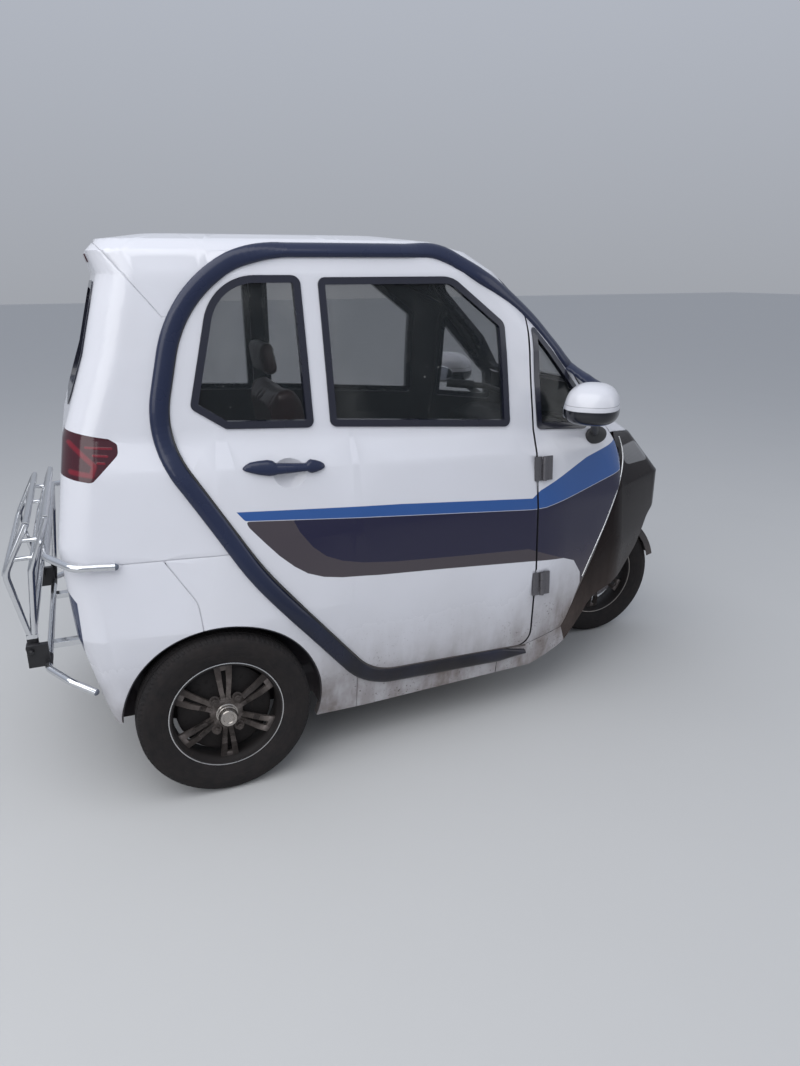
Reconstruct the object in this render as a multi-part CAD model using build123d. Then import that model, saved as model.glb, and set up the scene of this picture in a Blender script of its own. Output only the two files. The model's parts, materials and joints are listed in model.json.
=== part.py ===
from build123d import *
import os
from math import atan2, cos, hypot, radians, sin, tan

os.makedirs("parts", exist_ok=True)

# Sizes are in millimetres. Every piece is drawn with X forward from the rear axle, Y to the
# car's left and Z up from the ground, and is moved to the middle of the length when written.

# Wheels and axles
wheelbase = 1617
wheel_diameter = 500
rim_diameter = 330
rear_tyre_width = 112
front_tyre_width = 96
rear_track = 1000
spoke_pairs = 6
hub_radius = 46
axle_radius = 13
drum_radius = 92
drum_width = 28
axle_tube_radius = 27
running_clearance = 0.05

# Body
wall = 30
body_bottom = 148
arch_radius = 284
arch_x = 5
arch_z = 237
arch_depth = 160
liner_wall = 4
seat_gap = 0.3
side_reach = 720

# Doors
door_gap = 7
door_open_angle = 65
hinge_x = 1064
hinge_heights = (468, 856)
hinge_foot_y = 486
hinge_head_y = 464
hinge_length = 78
hinge_leaf = 24
hinge_plate = 5
hinge_pin_radius = 4
hinge_knuckle_radius = 7.5

# Trim and glass
strip_width = 46
strip_proud = 15
frame_width = 20
strip_inner_y = 320
frame_proud = 4
frame_depth = 20
glass_thickness = 4
glass_depth = 9

# Steering
rake = 27
fork_offset = 17
fork_spacing = 150
fork_leg_radius = 16
crown_height = 312
crown_thickness = 30
steerer_radius = 13
head_tube_radius = 22
head_tube_length = 120
bar_height = 868
bar_radius = 11
grip_reach = 245
grip_pull = 160
grip_lift = 25
guard_gap = 12
guard_thickness = 4
guard_front_angle = 15

# Bumper and rack
bumper_tube = 19
rack_tube = 14
rack_pivot_x = -496
rack_pivot_z = 446
rack_half_width = 300
rack_bulge_x = -532

# Rear springs. A row is one leaf, longest first: half span, rise of its ends.
leaf_rows = [(262, 55), (190, 29), (115, 11)]
leaf_thickness = 7
leaf_width = 44
leaf_bond = 0.01
hanger_length = 14

# Cabin
floor_height = 205
floor_thickness = 10
deck_height = 470

rear_wheel_y = rear_track / 2
tyre_radius = wheel_diameter / 2
rim_radius = rim_diameter / 2
nose_reach = wheelbase + (tyre_radius + guard_gap + guard_thickness) * cos(radians(guard_front_angle))
rack_reach = rack_bulge_x - rack_tube / 2
to_origin = Pos(-(nose_reach + rack_reach) / 2, 0, 0)

# Plan sections of the outer skin. A row is one level: its height at the rear axle, how much it
# falls per millimetre forward, then the corners of half the plan, from the rear to the nose.
# z, fall, rear x, rear y, wheel y, post y, hinge y, brow x, brow y, nose x, nose y
lower_sections = [
    (body_bottom, 0, -285, 452, 482, 478, 438, 1400, 372, 1700, 170),
    (300, 0, -320, 492, 544, 500, 464, 1425, 380, 1745, 165),
    (520, 0, -368, 500, 556, 508, 477, 1445, 376, 1795, 145),
    (750, 0.02, -385, 462, 500, 498, 469, 1450, 352, 1800, 145),
    (945, 0.042, -352, 434, 466, 468, 448, 1400, 345, 1640, 150),
    (1027, 0.049, -338, 404, 424, 428, 421, 1345, 345, 1500, 175),
]
upper_sections = [
    lower_sections[-1],
    (1240, 0.025, -262, 388, 400, 403, 392, 1168, 352, 1275, 185),
    (1450, 0, -206, 360, 371, 374, 366, 925, 338, 1000, 180),
]
roof_sections = [
    upper_sections[-1],
    (1508, 0, -224, 342, 352, 355, 346, 838, 312, 900, 170),
    (1538, 0, -196, 292, 302, 304, 296, 745, 262, 790, 150),
    (1556, 0, -80, 160, 176, 180, 172, 610, 140, 640, 85),
]
wheel_bulge_x = 60
post_x = 430
hinge_share = 0.66
plan_radii = (95, 800, 800, 600, 240, 140)
front_inset_share = 0.45
roof_drop_shares = (0, 0.4, 0.8, 1)

# Outlines seen from the side. Columns: x, z, corner radius.
door_corners = [
    (1040, 240, 45),
    (462, 272, 170),
    (140, 668, 900),
    (-85, 1040, 260),
    (28, 1494, 330),
    (730, 1494, 150),
    (1040, 1331, 25),
]
pillar_corners = [(1040, 1331, 600), (1262, 1085, 0)]
rear_pane_corners = [(322, 1037, 20), (311, 1446, 25), (72, 1447, 150), (-14, 1110, 20), (76, 1050, 20)]
front_pane_corners = [(360, 1440, 20), (370, 1036, 20), (955, 992, 20), (950, 1304, 35), (772, 1440, 90)]
quarter_pane_corners = [(1058, 975, 15), (1290, 951, 20), (1272, 1068, 40), (1058, 1305, 12)]
tail_lamp_corners = [
    (-420, 1086, 5), (-226, 1044, 10), (-206, 1030, 10), (-207, 1004, 20), (-279, 938, 18), (-322, 946, 10), (-420, 972, 5),
]
handle_corners = [(102, 944, 7), (140, 921, 35), (240, 925, 80), (340, 940, 6), (340, 946, 5), (240, 957, 80), (140, 965, 35)]
fascia_line = [
    (1212, 205, 0), (1185, 268, 0), (1226, 347, 60), (1329, 533, 300), (1462, 749, 120), (1468, 830, 60), (1428, 915, 30),
]
wheel_opening = [
    (1790, 600, 60), (1700, 555, 120), (1616, 457, 100), (1484, 390, 120), (1320, 350, 120), (1250, 252, 40),
]
fender_low = 229
fender_low_front = -200
seam_width = 3
seam_depth = 3

# Outlines seen from the front. Columns: y, z, corner radius.
windscreen_corners = [(-318, 1066, 40), (318, 1066, 40), (268, 1432, 70), (-268, 1432, 70)]
rear_pane_outline = [(-262, 1108, 70), (262, 1108, 70), (238, 1432, 70), (-238, 1432, 70)]
headlamp_corners = [(160, 765, 25), (292, 788, 25), (290, 856, 25), (172, 848, 30)]


def rounded_wire(corners, place, closed=True):
    """A wire of straight runs and tangent arcs through corners of (x, y, radius)."""
    count = len(corners)
    legs = []
    for index, (x, y, radius) in enumerate(corners):
        if radius == 0 or not closed and index in (0, count - 1):
            legs.append(((x, y), None, (x, y)))
            continue
        x_before, y_before, _ = corners[index - 1]
        x_after, y_after, _ = corners[(index + 1) % count]
        length_in = hypot(x - x_before, y - y_before)
        length_out = hypot(x_after - x, y_after - y)
        way_in = ((x - x_before) / length_in, (y - y_before) / length_in)
        way_out = ((x_after - x) / length_out, (y_after - y) / length_out)
        cross = way_in[0] * way_out[1] - way_in[1] * way_out[0]
        dot = way_in[0] * way_out[0] + way_in[1] * way_out[1]
        turn = abs(atan2(cross, dot))
        reach = min(radius * tan(turn / 2), 0.48 * length_in, 0.48 * length_out)
        bulge = reach / tan(turn / 2) * (1 / cos(turn / 2) - 1)
        middle = (way_out[0] - way_in[0], way_out[1] - way_in[1])
        scale = bulge / hypot(*middle)
        start = (x - way_in[0] * reach, y - way_in[1] * reach)
        mid = (x + middle[0] * scale, y + middle[1] * scale)
        legs.append((start, mid, (x + way_out[0] * reach, y + way_out[1] * reach)))
    edges = []
    for index, (start, mid, end) in enumerate(legs):
        if mid is not None:
            edges.append(Edge.make_three_point_arc(place(*start), place(*mid), place(*end)))
        if closed or index < count - 1:
            edges.append(Edge.make_line(place(*end), place(*legs[(index + 1) % count][0])))
    return Wire(edges)


def moved_corners(corners, distance, closed=True):
    """The same outline moved sideways: outwards where it runs clockwise seen with X right."""
    count = len(corners)
    sides = []
    for index in range(count if closed else count - 1):
        x, y, _ = corners[index]
        x_after, y_after, _ = corners[(index + 1) % count]
        length = hypot(x_after - x, y_after - y)
        normal = (-(y_after - y) / length * distance, (x_after - x) / length * distance)
        sides.append((x + normal[0], y + normal[1], x_after + normal[0], y_after + normal[1]))
    moved = []
    for index, (x, y, radius) in enumerate(corners):
        if not closed and index == 0:
            moved.append((sides[0][0], sides[0][1], 0))
            continue
        if not closed and index == count - 1:
            moved.append((sides[-1][2], sides[-1][3], 0))
            continue
        x1, y1, x2, y2 = sides[index - 1]
        x3, y3, x4, y4 = sides[index % len(sides)]
        bottom = (x1 - x2) * (y3 - y4) - (y1 - y2) * (x3 - x4)
        first = x1 * y2 - y1 * x2
        second = x3 * y4 - y3 * x4
        new_x = (first * (x3 - x4) - (x1 - x2) * second) / bottom
        new_y = (first * (y3 - y4) - (y1 - y2) * second) / bottom
        moved.append((new_x, new_y, max(radius + distance, 2)))
    return moved


def grown(corners, distance):
    """A closed outline grown by distance, whichever way round it runs."""
    area = sum(
        x * corners[(index + 1) % len(corners)][1] - corners[(index + 1) % len(corners)][0] * y
        for index, (x, y, _) in enumerate(corners)
    )
    turned = corners if area < 0 else corners[::-1]
    return moved_corners(turned, distance)


def side_prism(corners, y_low, y_high):
    face = Face(rounded_wire(corners, lambda x, z: (x, y_low, z)))
    return Solid.extrude(face, Vector(0, y_high - y_low, 0))


def front_prism(corners, x_low, x_high):
    face = Face(rounded_wire(corners, lambda y, z: (x_low, y, z)))
    return Solid.extrude(face, Vector(x_high - x_low, 0, 0))


def block(x_low, x_high, y_low, y_high, z_low, z_high):
    size = (x_high - x_low, y_high - y_low, z_high - z_low)
    return Pos(x_low, y_low, z_low) * Solid.make_box(*size)


def rod(start, end, radius):
    start, end = Vector(*start), Vector(*end)
    return Solid.make_cylinder(radius, (end - start).length, Plane(start, z_dir=end - start))


def bent_tube(points, radius, bend):
    path = FilletPolyline(*points, radius=bend)
    start = Plane(path @ 0, z_dir=path % 0)
    return sweep(start * Circle(radius), path=path)


def soft_block(x_low, x_high, y_low, y_high, z_low, z_high, radius):
    solid = block(x_low, x_high, y_low, y_high, z_low, z_high)
    return fillet(solid.edges(), radius)


def both_sides(solid):
    return [solid, mirror(solid, about=Plane.XZ)]


def write(name, *pieces):
    solids = [solid for piece in pieces for solid in ShapeList([piece]).solids()]
    shape = solids[0] if len(solids) == 1 else Compound(children=solids)
    export_step(to_origin * shape, f"parts/{name}.step")


def plan_wire(row, inset, drop):
    z, fall, rear, rear_y, wheel_y, post_y, hinge_y, brow, brow_y, nose, nose_y = row
    hinge = post_x + (brow - post_x) * hinge_share
    half = [
        (rear + inset, rear_y - inset),
        (wheel_bulge_x, wheel_y - inset),
        (post_x, post_y - inset),
        (hinge, hinge_y - inset),
        (brow - front_inset_share * inset, brow_y - inset),
        (nose - inset, nose_y - front_inset_share * inset),
    ]
    radii = [max(radius - inset, 12) if radius < 200 else radius for radius in plan_radii]
    right = [(x, -y, radius) for (x, y), radius in zip(half, radii)]
    left = [(x, -y, radius) for x, y, radius in reversed(right)]
    return rounded_wire(right + left, lambda x, y: (x, y, z - drop - fall * x))


def skin(inset):
    """The body's outer form, drawn in by inset, or grown where inset is negative."""
    drops = [inset * share for share in roof_drop_shares]
    rows = [(row, 0) for row in lower_sections + upper_sections[1:]]
    rows += list(zip(roof_sections, drops))[1:]
    return Solid.make_loft([plan_wire(row, inset, drop) for row, drop in rows], ruled=True)


outer = skin(0)
cabin = skin(wall)
shell = outer - cabin
strip_skin = skin(-strip_proud)
frame_skin = skin(-frame_proud)
frame_back = skin(frame_depth)
glass_face = skin(glass_depth)
glass_back = skin(glass_depth + glass_thickness)
pane_layer = glass_face - glass_back
frame_layer = frame_skin - frame_back

# Door aperture, doors, panes and their rubber frames
aperture = grown(door_corners, door_gap)
aperture_cut = side_prism(aperture, -side_reach, -250)
door_panes = (rear_pane_corners, front_pane_corners)
hinge_line = Vector(0, hinge_foot_y - hinge_head_y, hinge_heights[1] - hinge_heights[0]).normalized()


def hinge_centre(z):
    share = (z - hinge_heights[0]) / (hinge_heights[1] - hinge_heights[0])
    return Vector(hinge_x, -hinge_foot_y + (hinge_foot_y - hinge_head_y) * share, z)


def hinge_frame(z):
    return Plane(hinge_centre(z), x_dir=(1, 0, 0), z_dir=hinge_line)


def hinge_pockets(extra):
    """The blocks that the hinge leaves sink into, across the gap at the door's front edge."""
    pockets = []
    for z in hinge_heights:
        size = (2 * hinge_leaf + 16 + 2 * extra, 2 * hinge_knuckle_radius + 8, hinge_length + 2 * extra)
        pockets.append(hinge_frame(z) * Pos(0, 4, 0) * Box(*size))
    return pockets


def hinge_body_leaf(z):
    third = hinge_length / 3
    frame = hinge_frame(z)
    plate_y = hinge_knuckle_radius - hinge_plate / 2 + 1
    plate = Pos(hinge_leaf / 2 + 8, plate_y, 0) * Box(hinge_leaf, hinge_plate, hinge_length)
    pin = Cylinder(hinge_pin_radius, hinge_length)
    leaf = plate + pin
    for end in (-third, third):
        leaf += Pos(0, 0, end) * Cylinder(hinge_knuckle_radius, third - 1)
        leaf += Pos(6, plate_y, end) * Box(12, hinge_plate, third - 1)
    return frame * leaf


def hinge_door_leaf(z):
    third = hinge_length / 3
    plate_y = hinge_knuckle_radius - hinge_plate / 2 + 1
    plate = Pos(-hinge_leaf / 2 - 8, plate_y, 0) * Box(hinge_leaf, hinge_plate, hinge_length)
    leaf = plate + Cylinder(hinge_knuckle_radius, third - 1)
    leaf += Pos(-6, plate_y, 0) * Box(12, hinge_plate, third - 1)
    leaf -= Cylinder(hinge_pin_radius + running_clearance, hinge_length)
    return hinge_frame(z) * leaf


door_shell = shell & side_prism(door_corners, -side_reach, -250)
for corners in door_panes:
    door_shell -= side_prism(corners, -side_reach, -250)
for pocket in hinge_pockets(0.4):
    door_shell -= pocket
recess_place = (236, -521, 937)
recess_radius = 72.5
door_shell -= Pos(*recess_place) * Sphere(recess_radius)
door_handle = (strip_skin - outer) & side_prism(handle_corners, -side_reach, -250)


def pane_pair(corners, y_low, y_high):
    hole = side_prism(grown(corners, -frame_width), y_low, y_high)
    ring = side_prism(grown(corners, -seat_gap), y_low, y_high) - hole
    glass = side_prism(grown(corners, -frame_width - seat_gap), y_low, y_high)
    return frame_layer & ring, pane_layer & glass


door_frames = []
door_glass = []
for corners in door_panes:
    ring, glass = pane_pair(corners, -side_reach, -250)
    door_frames.append(ring)
    door_glass.append(glass)
hinge_leaves = [hinge_door_leaf(z) for z in hinge_heights]
right_door = {
    "door_shell": [door_shell],
    "door_window_frames": door_frames,
    "door_glass": door_glass,
    "door_handle": [door_handle],
    "door_hinge_leaves": hinge_leaves,
}
for name, solids in right_door.items():
    write(f"{name}_right", *solids)
    write(f"{name}_left", *[mirror(solid, about=Plane.XZ) for solid in solids])

# Body panels, cut from the one skin where the real panels meet
body = shell
for cut in both_sides(aperture_cut):
    body -= cut
for cut in both_sides(side_prism(quarter_pane_corners, -side_reach, -200)):
    body -= cut
for y in (-side_reach, arch_depth * 2):
    body -= Pos(arch_x, y, arch_z) * Rot(-90, 0, 0) * Solid.make_cylinder(arch_radius + liner_wall + seat_gap, 400)
for pocket in hinge_pockets(0.4):
    for cut in both_sides(pocket):
        body -= cut
body -= front_prism(windscreen_corners, 860, 1600)
body -= front_prism(rear_pane_outline, -450, 0)
body -= block(-450, fender_low_front, -side_reach, side_reach, 0, fender_low)

roof_seam = [(-450, 1530, 0), (-205, 1530, 5), (-60, 1345, 0)]
rear_seam = [(-450, 724, 0), (300, 716, 0)]
fender_seam = [(-128, 722, 0), (-50, 597, 60), (-37, 450, 0)]
sill_seam = [(1032, 240, 0), (1147, 262, 0), (1185, 268, 0)]
sill_front = [(1212, 205, 0), (1178, 186, 40), (1130, 168, 60), (1060, 147, 60)]
hood_seam = [(1326, 1060, 0), (1428, 915, 0), (1880, 838, 0)]
roof_zone = roof_seam + [(760, 1345, 0), (760, 1452, 0), (1300, 1452, 0), (1300, 1700, 0), (-450, 1700, 0)]
rear_zone = roof_seam + [(300, 1345, 0)] + rear_seam[::-1]
fender_zone = rear_seam + [(410, 560, 0), (410, 100, 0), (-450, 100, 0)]
sill_zone = [(410, 560, 0), (1000, 560, 0), (1000, 237, 0)] + sill_seam + sill_front + [(1020, 100, 0), (410, 100, 0)]
hood_zone = hood_seam + [(1880, 1060, 0)]
fascia_zone = fascia_line + [(1880, 838, 0), (1880, 560, 0)] + wheel_opening
front_zone = [
    (1000, 237, 0), (1000, 1345, 0), (760, 1345, 0), (760, 1452, 0), (1500, 1452, 0), (1500, 1060, 0), (1326, 1060, 0),
] + fascia_line[:1:-1] + sill_seam[::-1]

# Narrow grooves where the panels meet
groove_layer = outer - skin(seam_depth)
cut_seams = (
    roof_seam, rear_seam, fender_seam, sill_seam, hood_seam, fascia_line[1:],
    [(410, 600, 0), (410, 100, 0)], [(922, 560, 0), (922, 100, 0)],
)
for seam in cut_seams:
    left = moved_corners(seam, seam_width / 2, closed=False)
    right = moved_corners(seam, -seam_width / 2, closed=False)
    body -= groove_layer & side_prism(left + right[::-1], -side_reach, side_reach)


def panel(zone):
    return body & side_prism(zone, -side_reach, side_reach)


tail_lamp_zone = side_prism(tail_lamp_corners, -side_reach, -262)
headlamp_zone = front_prism(headlamp_corners, 1440, 1900)
rear_shell = panel(rear_zone)
fascia = panel(fascia_zone)
tail_lamps = []
headlamps = []
for zone in both_sides(tail_lamp_zone):
    tail_lamps.append(rear_shell & zone)
    rear_shell -= zone
for zone in both_sides(headlamp_zone):
    headlamps.append(fascia & zone)
    fascia -= zone
fenders = panel(fender_zone)
tail_zone = block(-450, -200, -296, 296, 100, rear_seam[0][1])
write("roof_shell", panel(roof_zone))
write("rear_shell", rear_shell)
write("rear_fenders", fenders - tail_zone)
write("tail_panel", fenders & tail_zone)
write("sills", panel(sill_zone))
write("front_shell", panel(front_zone))
write("hood", panel(hood_zone))
write("nose_fascia", fascia)
write("headlamps", *headlamps)

hinge_body_leaves = [hinge_body_leaf(z) for z in hinge_heights]
write("hinge_leaves_body", *[side for leaf in hinge_body_leaves for side in both_sides(leaf)])

# Moulding that frames each door and runs down the windscreen pillar
strip_path = [(*pillar_corners[1][:2], 0), pillar_corners[0]] + door_corners[:0:-1][1:] + [(1030, 240, 0)]
strip_outer = moved_corners(strip_path, -(door_gap + strip_width), closed=False)
strip_inner = moved_corners(strip_path, -door_gap, closed=False)
strip_zone = strip_outer + strip_inner[::-1]
strip = (strip_skin - outer) & side_prism(strip_zone, -side_reach, -strip_inner_y)
write("door_mouldings", *both_sides(strip))

# Fixed glass
quarter_ring, quarter_glass = pane_pair(quarter_pane_corners, -side_reach, -200)
seals, panes = both_sides(quarter_ring), both_sides(quarter_glass)
for corners, x_low, x_high in ((windscreen_corners, 860, 1600), (rear_pane_outline, -450, 0)):
    hole = front_prism(grown(corners, -frame_width), x_low, x_high)
    ring = front_prism(grown(corners, -seat_gap), x_low, x_high) - hole
    glass = front_prism(grown(corners, -frame_width - seat_gap), x_low, x_high)
    seals.append(frame_layer & ring)
    panes.append(pane_layer & glass)
write("window_seals", *seals)
write("fixed_glass", *panes)
stop_lamp_zone = block(-300, -150, -95, 95, 1482, 1504)
write("rear_lamps", *tail_lamps, (frame_skin - outer) & stop_lamp_zone)

# Wheel-arch liners
liner_inner_y = rear_wheel_y - arch_depth / 2 - 8


def liner_drum(radius, y_low, depth):
    return Pos(arch_x, y_low, arch_z) * Rot(-90, 0, 0) * Solid.make_cylinder(radius, depth)


liner = liner_drum(arch_radius + liner_wall, liner_inner_y, arch_depth)
liner -= liner_drum(arch_radius, liner_inner_y + liner_wall, arch_depth)
liner -= block(-62, 62, liner_inner_y - 1, liner_inner_y + liner_wall + 1, 0, 330)
liner -= block(-400, 400, 0, side_reach, -100, 196)
liner -= block(-400, fender_low_front, 0, side_reach, 0, fender_low + 4)
write("wheel_liners", *both_sides(liner & skin(3)))

# Chassis: two rails, cross members, outriggers to the sills, down tubes and the head tube
axle_height = tyre_radius
steer_up = Vector(-sin(radians(rake)), 0, cos(radians(rake)))
steer_forward = Vector(cos(radians(rake)), 0, sin(radians(rake)))
steer_origin = Vector(wheelbase, 0, axle_height) - steer_forward * fork_offset
steer_plane = Plane(steer_origin, x_dir=steer_forward, z_dir=steer_up)
rail_y = 250
rail_size = 40
rail_top = floor_height - seat_gap
rail_front = 1200
rail_kick = 330
cross_members = (350, 640, 930, rail_front - rail_size / 2)
head_low = crown_height + crown_thickness / 2 + 12
spring_seat = axle_height + axle_tube_radius + seat_gap
spring_span, spring_rise = leaf_rows[0]
spring_eye_z = spring_seat + spring_rise + len(leaf_rows) * leaf_thickness + leaf_bond + seat_gap
frame = None
for side in (-1, 1):
    y_low, y_high = side * rail_y - rail_size / 2, side * rail_y + rail_size / 2
    rail = block(rail_kick - rail_size, rail_front, y_low, y_high, rail_top - rail_size, rail_top)
    rail += block(rail_kick - rail_size, rail_kick, y_low, y_high, rail_top - rail_size, deck_height - rail_size)
    rail += block(-330, rail_kick, y_low, y_high, deck_height - rail_size, deck_height)
    frame = rail if frame is None else frame + rail
for x in cross_members:
    width = 452 if x < rail_front - rail_size else 400
    frame += block(x - 15, x + 15, -width, width, rail_top - 30, rail_top)
for x in (-315, 315):
    frame += block(x - 15, x + 15, -rail_y, rail_y, deck_height - 30, deck_height)
head_tube = steer_plane * Pos(0, 0, head_low) * Cylinder(
    head_tube_radius, head_tube_length, align=(Align.CENTER, Align.CENTER, Align.MIN)
)
head_middle = steer_plane.from_local_coords(Vector(0, 0, head_low + head_tube_length * 0.5))
frame += head_tube
for side in (-1, 1):
    for end in (-1, 1):
        x = end * (spring_span - hanger_length / 2)
        frame += block(x - hanger_length / 2, x + hanger_length / 2, side * rail_y - 15, side * rail_y + 15,
                       spring_eye_z, deck_height - rail_size)
    foot = (rail_front - 12, side * rail_y, rail_top - 20)
    knee = (rail_front + 52, side * 150, 560)
    frame += rod(foot, knee, 15) + Pos(*knee) * Sphere(15)
    frame += rod(knee, (head_middle.X, side * 8, head_middle.Z), 15)
steerer_bore = steer_plane * Cylinder(
    steerer_radius + running_clearance, 900, align=(Align.CENTER, Align.CENTER, Align.MIN)
)
inside = skin(wall + seat_gap)
write("chassis_frame", (frame - steerer_bore) & inside)

# Floor, rear deck and front bulkhead, trimmed to the inside of the body
bulkhead_x = 1166
floor = block(rail_kick + 12, bulkhead_x, -500, 500, floor_height, floor_height + floor_thickness)
deck = block(-420, rail_kick + 12, -500, 500, deck_height + seat_gap, deck_height + floor_thickness)
deck += block(rail_kick + 2, rail_kick + 12, -500, 500, floor_height + seat_gap, deck_height + floor_thickness)
deck -= block(rail_kick - 60, rail_kick + 30, -500, 500, floor_height - 9, floor_height + floor_thickness + seat_gap)
for y in (liner_inner_y - seat_gap, -liner_inner_y + seat_gap - 400):
    deck -= Pos(arch_x, y, arch_z) * Rot(-90, 0, 0) * Solid.make_cylinder(arch_radius + liner_wall + seat_gap, 400)
write("rear_deck", deck & inside)
bulkhead_top = 848.5
floor += block(bulkhead_x - 8, bulkhead_x, -500, 500, floor_height, bulkhead_top)
write("floor_pan", floor & inside)

# Dashboard with a well for the steering column
dash_profile = [(1140, 849, 15), (1140, 900, 30), (1205, 942, 40), (1380, 925, 20), (1350, 849, 10)]
column_x = steer_origin.X - (900 - steer_origin.Z) * tan(radians(rake))
dash = side_prism(dash_profile, -460, 460) & inside
dash -= block(column_x - 75, column_x + 60, -38, 38, 700, 1100)
write("dashboard", dash)

# Rear axle with its motor, hubs and springs
axle_tube_end = rear_wheel_y - 64
axle = Rot(90, 0, 0) * Cylinder(axle_tube_radius, 2 * axle_tube_end)
axle += Rot(90, 0, 0) * Cylinder(axle_radius, 2 * (rear_wheel_y + 20))
axle += Pos(0, 40, 0) * Rot(90, 0, 0) * Cylinder(78, 120)
axle += Pos(0, -100, 0) * Rot(90, 0, 0) * Cylinder(66, 170)
for side in (-1, 1):
    axle += Pos(0, side * (rear_wheel_y - 64), 0) * Rot(90, 0, 0) * Cylinder(drum_radius, drum_width)
write("rear_axle", Pos(0, 0, axle_height) * axle)


def leaf_arc(span, low, rise, forward):
    ends = [(-span, 0, low + rise), (0, 0, low), (span, 0, low + rise)]
    return Edge.make_three_point_arc(*(ends if forward else ends[::-1]))


def leaf_pack(y):
    pack = None
    for index, (span, rise) in enumerate(leaf_rows):
        low = spring_seat + (len(leaf_rows) - 1 - index) * leaf_thickness
        under = leaf_arc(span, low, rise, True)
        over = leaf_arc(span, low + leaf_thickness + leaf_bond, rise, False)
        face = Face(Wire([under, Edge.make_line(under @ 1, over @ 0), over, Edge.make_line(over @ 1, under @ 0)]))
        leaf = Pos(0, y - leaf_width / 2, 0) * Solid.extrude(face, Vector(0, leaf_width, 0))
        pack = leaf if pack is None else pack + leaf
    return pack


write("leaf_springs", leaf_pack(-rail_y), leaf_pack(rail_y))

# Battery box under the driver, with the straps that carry the backrest, and the seats
battery_top = 540
battery_rear = 420
strap_width = 40
strap_thickness = 6
cushion_top = battery_top + 90
backrest_depth, backrest_lift = 80, 14
back_frame = Plane((452, 0, cushion_top - 10), x_dir=(1, 0, 0), z_dir=(-0.2, 0, 1))
battery = block(battery_rear, 840, -215, 215, floor_height + floor_thickness, battery_top)
strap_x = -20 - backrest_depth - seat_gap - strap_thickness / 2
for y in (-110, 110):
    battery += back_frame * Pos(strap_x, y, 110) * Box(strap_thickness, strap_width, 380)
    battery += block(362, battery_rear + 1, y - strap_width / 2, y + strap_width / 2, 518, 530)
write("battery_box", battery)
write("driver_cushion", soft_block(436, 872, -225, 225, battery_top + seat_gap, cushion_top, 28))
back_pad = fillet(Box(backrest_depth, 430, 520, align=(Align.MAX, Align.CENTER, Align.MIN)).edges(), 30)
rest_pad = fillet(Box(70, 250, 130, align=(Align.MAX, Align.CENTER, Align.MIN)).edges(), 28)
write(
    "driver_backrest",
    back_frame * Pos(-20, 0, backrest_lift) * back_pad,
    back_frame * Pos(-25, 0, backrest_lift + 520 + seat_gap) * rest_pad,
)
bench_low = deck_height + floor_thickness + seat_gap
bench_top = bench_low + 110
bench_rear = -60
bench_lean_x = bench_rear + 3.54
write("bench_cushion", soft_block(bench_rear, 318, -378, 378, bench_low, bench_top, 25))
bench_back = Plane((bench_lean_x, 0, bench_low + 30), x_dir=(1, 0, 0), z_dir=(-0.17, 0, 1))
bench_pad = fillet(Box(70, 700, 400, align=(Align.MAX, Align.CENTER, Align.MIN)).edges(), 25)
write("bench_backrest", bench_back * bench_pad)

# Steering: fork, handlebar and front mudguard
guard_half = front_tyre_width / 2 + 8
crown = steer_plane * Pos(0, 0, crown_height) * Box(52, fork_spacing + 44, crown_thickness)
fork = crown
for side in (-1, 1):
    leg_top = Vector(fork_offset, side * fork_spacing / 2, crown_height)
    leg_foot = Vector(fork_offset, side * fork_spacing / 2, -26)
    start = steer_plane.from_local_coords(leg_foot)
    end = steer_plane.from_local_coords(leg_top)
    fork += rod(start, end, fork_leg_radius)
    boss_in = steer_plane.from_local_coords(Vector(fork_offset, side * (guard_half + seat_gap), tyre_radius + 4))
    boss_out = steer_plane.from_local_coords(Vector(fork_offset, side * fork_spacing / 2, tyre_radius + 4))
    fork += rod(boss_in, boss_out, 6)
fork += Pos(wheelbase, 0, axle_height) * Rot(90, 0, 0) * Cylinder(axle_radius - 3, fork_spacing + 40)
fork += steer_plane * Pos(0, 0, crown_height) * Cylinder(
    steerer_radius, bar_height - crown_height - 20, align=(Align.CENTER, Align.CENTER, Align.MIN)
)
write("fork", fork)
bar_centre = steer_plane.from_local_coords(Vector(0, 0, bar_height))
grip_x = bar_centre.X - grip_pull
grip_z = bar_centre.Z + grip_lift
bar_points = [
    (grip_x, -grip_reach, grip_z),
    (grip_x + 130, -grip_reach + 75, grip_z - 10),
    (bar_centre.X, -70, bar_centre.Z),
    (bar_centre.X, 70, bar_centre.Z),
    (grip_x + 130, grip_reach - 75, grip_z - 10),
    (grip_x, grip_reach, grip_z),
]
bar = bent_tube(bar_points, bar_radius, 30)
bar += steer_plane * Pos(0, 0, bar_height - 19.5) * Cylinder(
    steerer_radius + 9, 44, align=(Align.CENTER, Align.CENTER, Align.MIN)
)
for side in (-1, 1):
    start = Vector(grip_x, side * grip_reach, grip_z)
    way = (Vector(grip_x + 130, side * (grip_reach - 75), grip_z - 10) - start).normalized()
    bar += rod(start, start + way * 105, 16)
write("handlebar", bar)
guard_low = tyre_radius + guard_gap
guard_high = guard_low + guard_thickness
guard = Cylinder(guard_high, 2 * guard_half) - Cylinder(guard_low, 2 * guard_half - 6) - Cylinder(guard_low - 22, 200)
guard_keep = None
for start_angle in (guard_front_angle, guard_front_angle + 45, guard_front_angle + 90):
    sector = [(0, 0, 0)]
    for angle in (start_angle, start_angle + 45):
        sector.append((400 * cos(radians(angle)), 400 * sin(radians(angle)), 0))
    wedge = side_prism(sector, -100, 100)
    guard_keep = wedge if guard_keep is None else guard_keep + wedge
guard = Pos(wheelbase, 0, axle_height) * ((Rot(90, 0, 0) * guard) & guard_keep)
guard -= steer_plane * Pos(0, 0, crown_height) * Box(60, fork_spacing + 60, crown_thickness + 1)
write("front_mudguard", guard)


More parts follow.
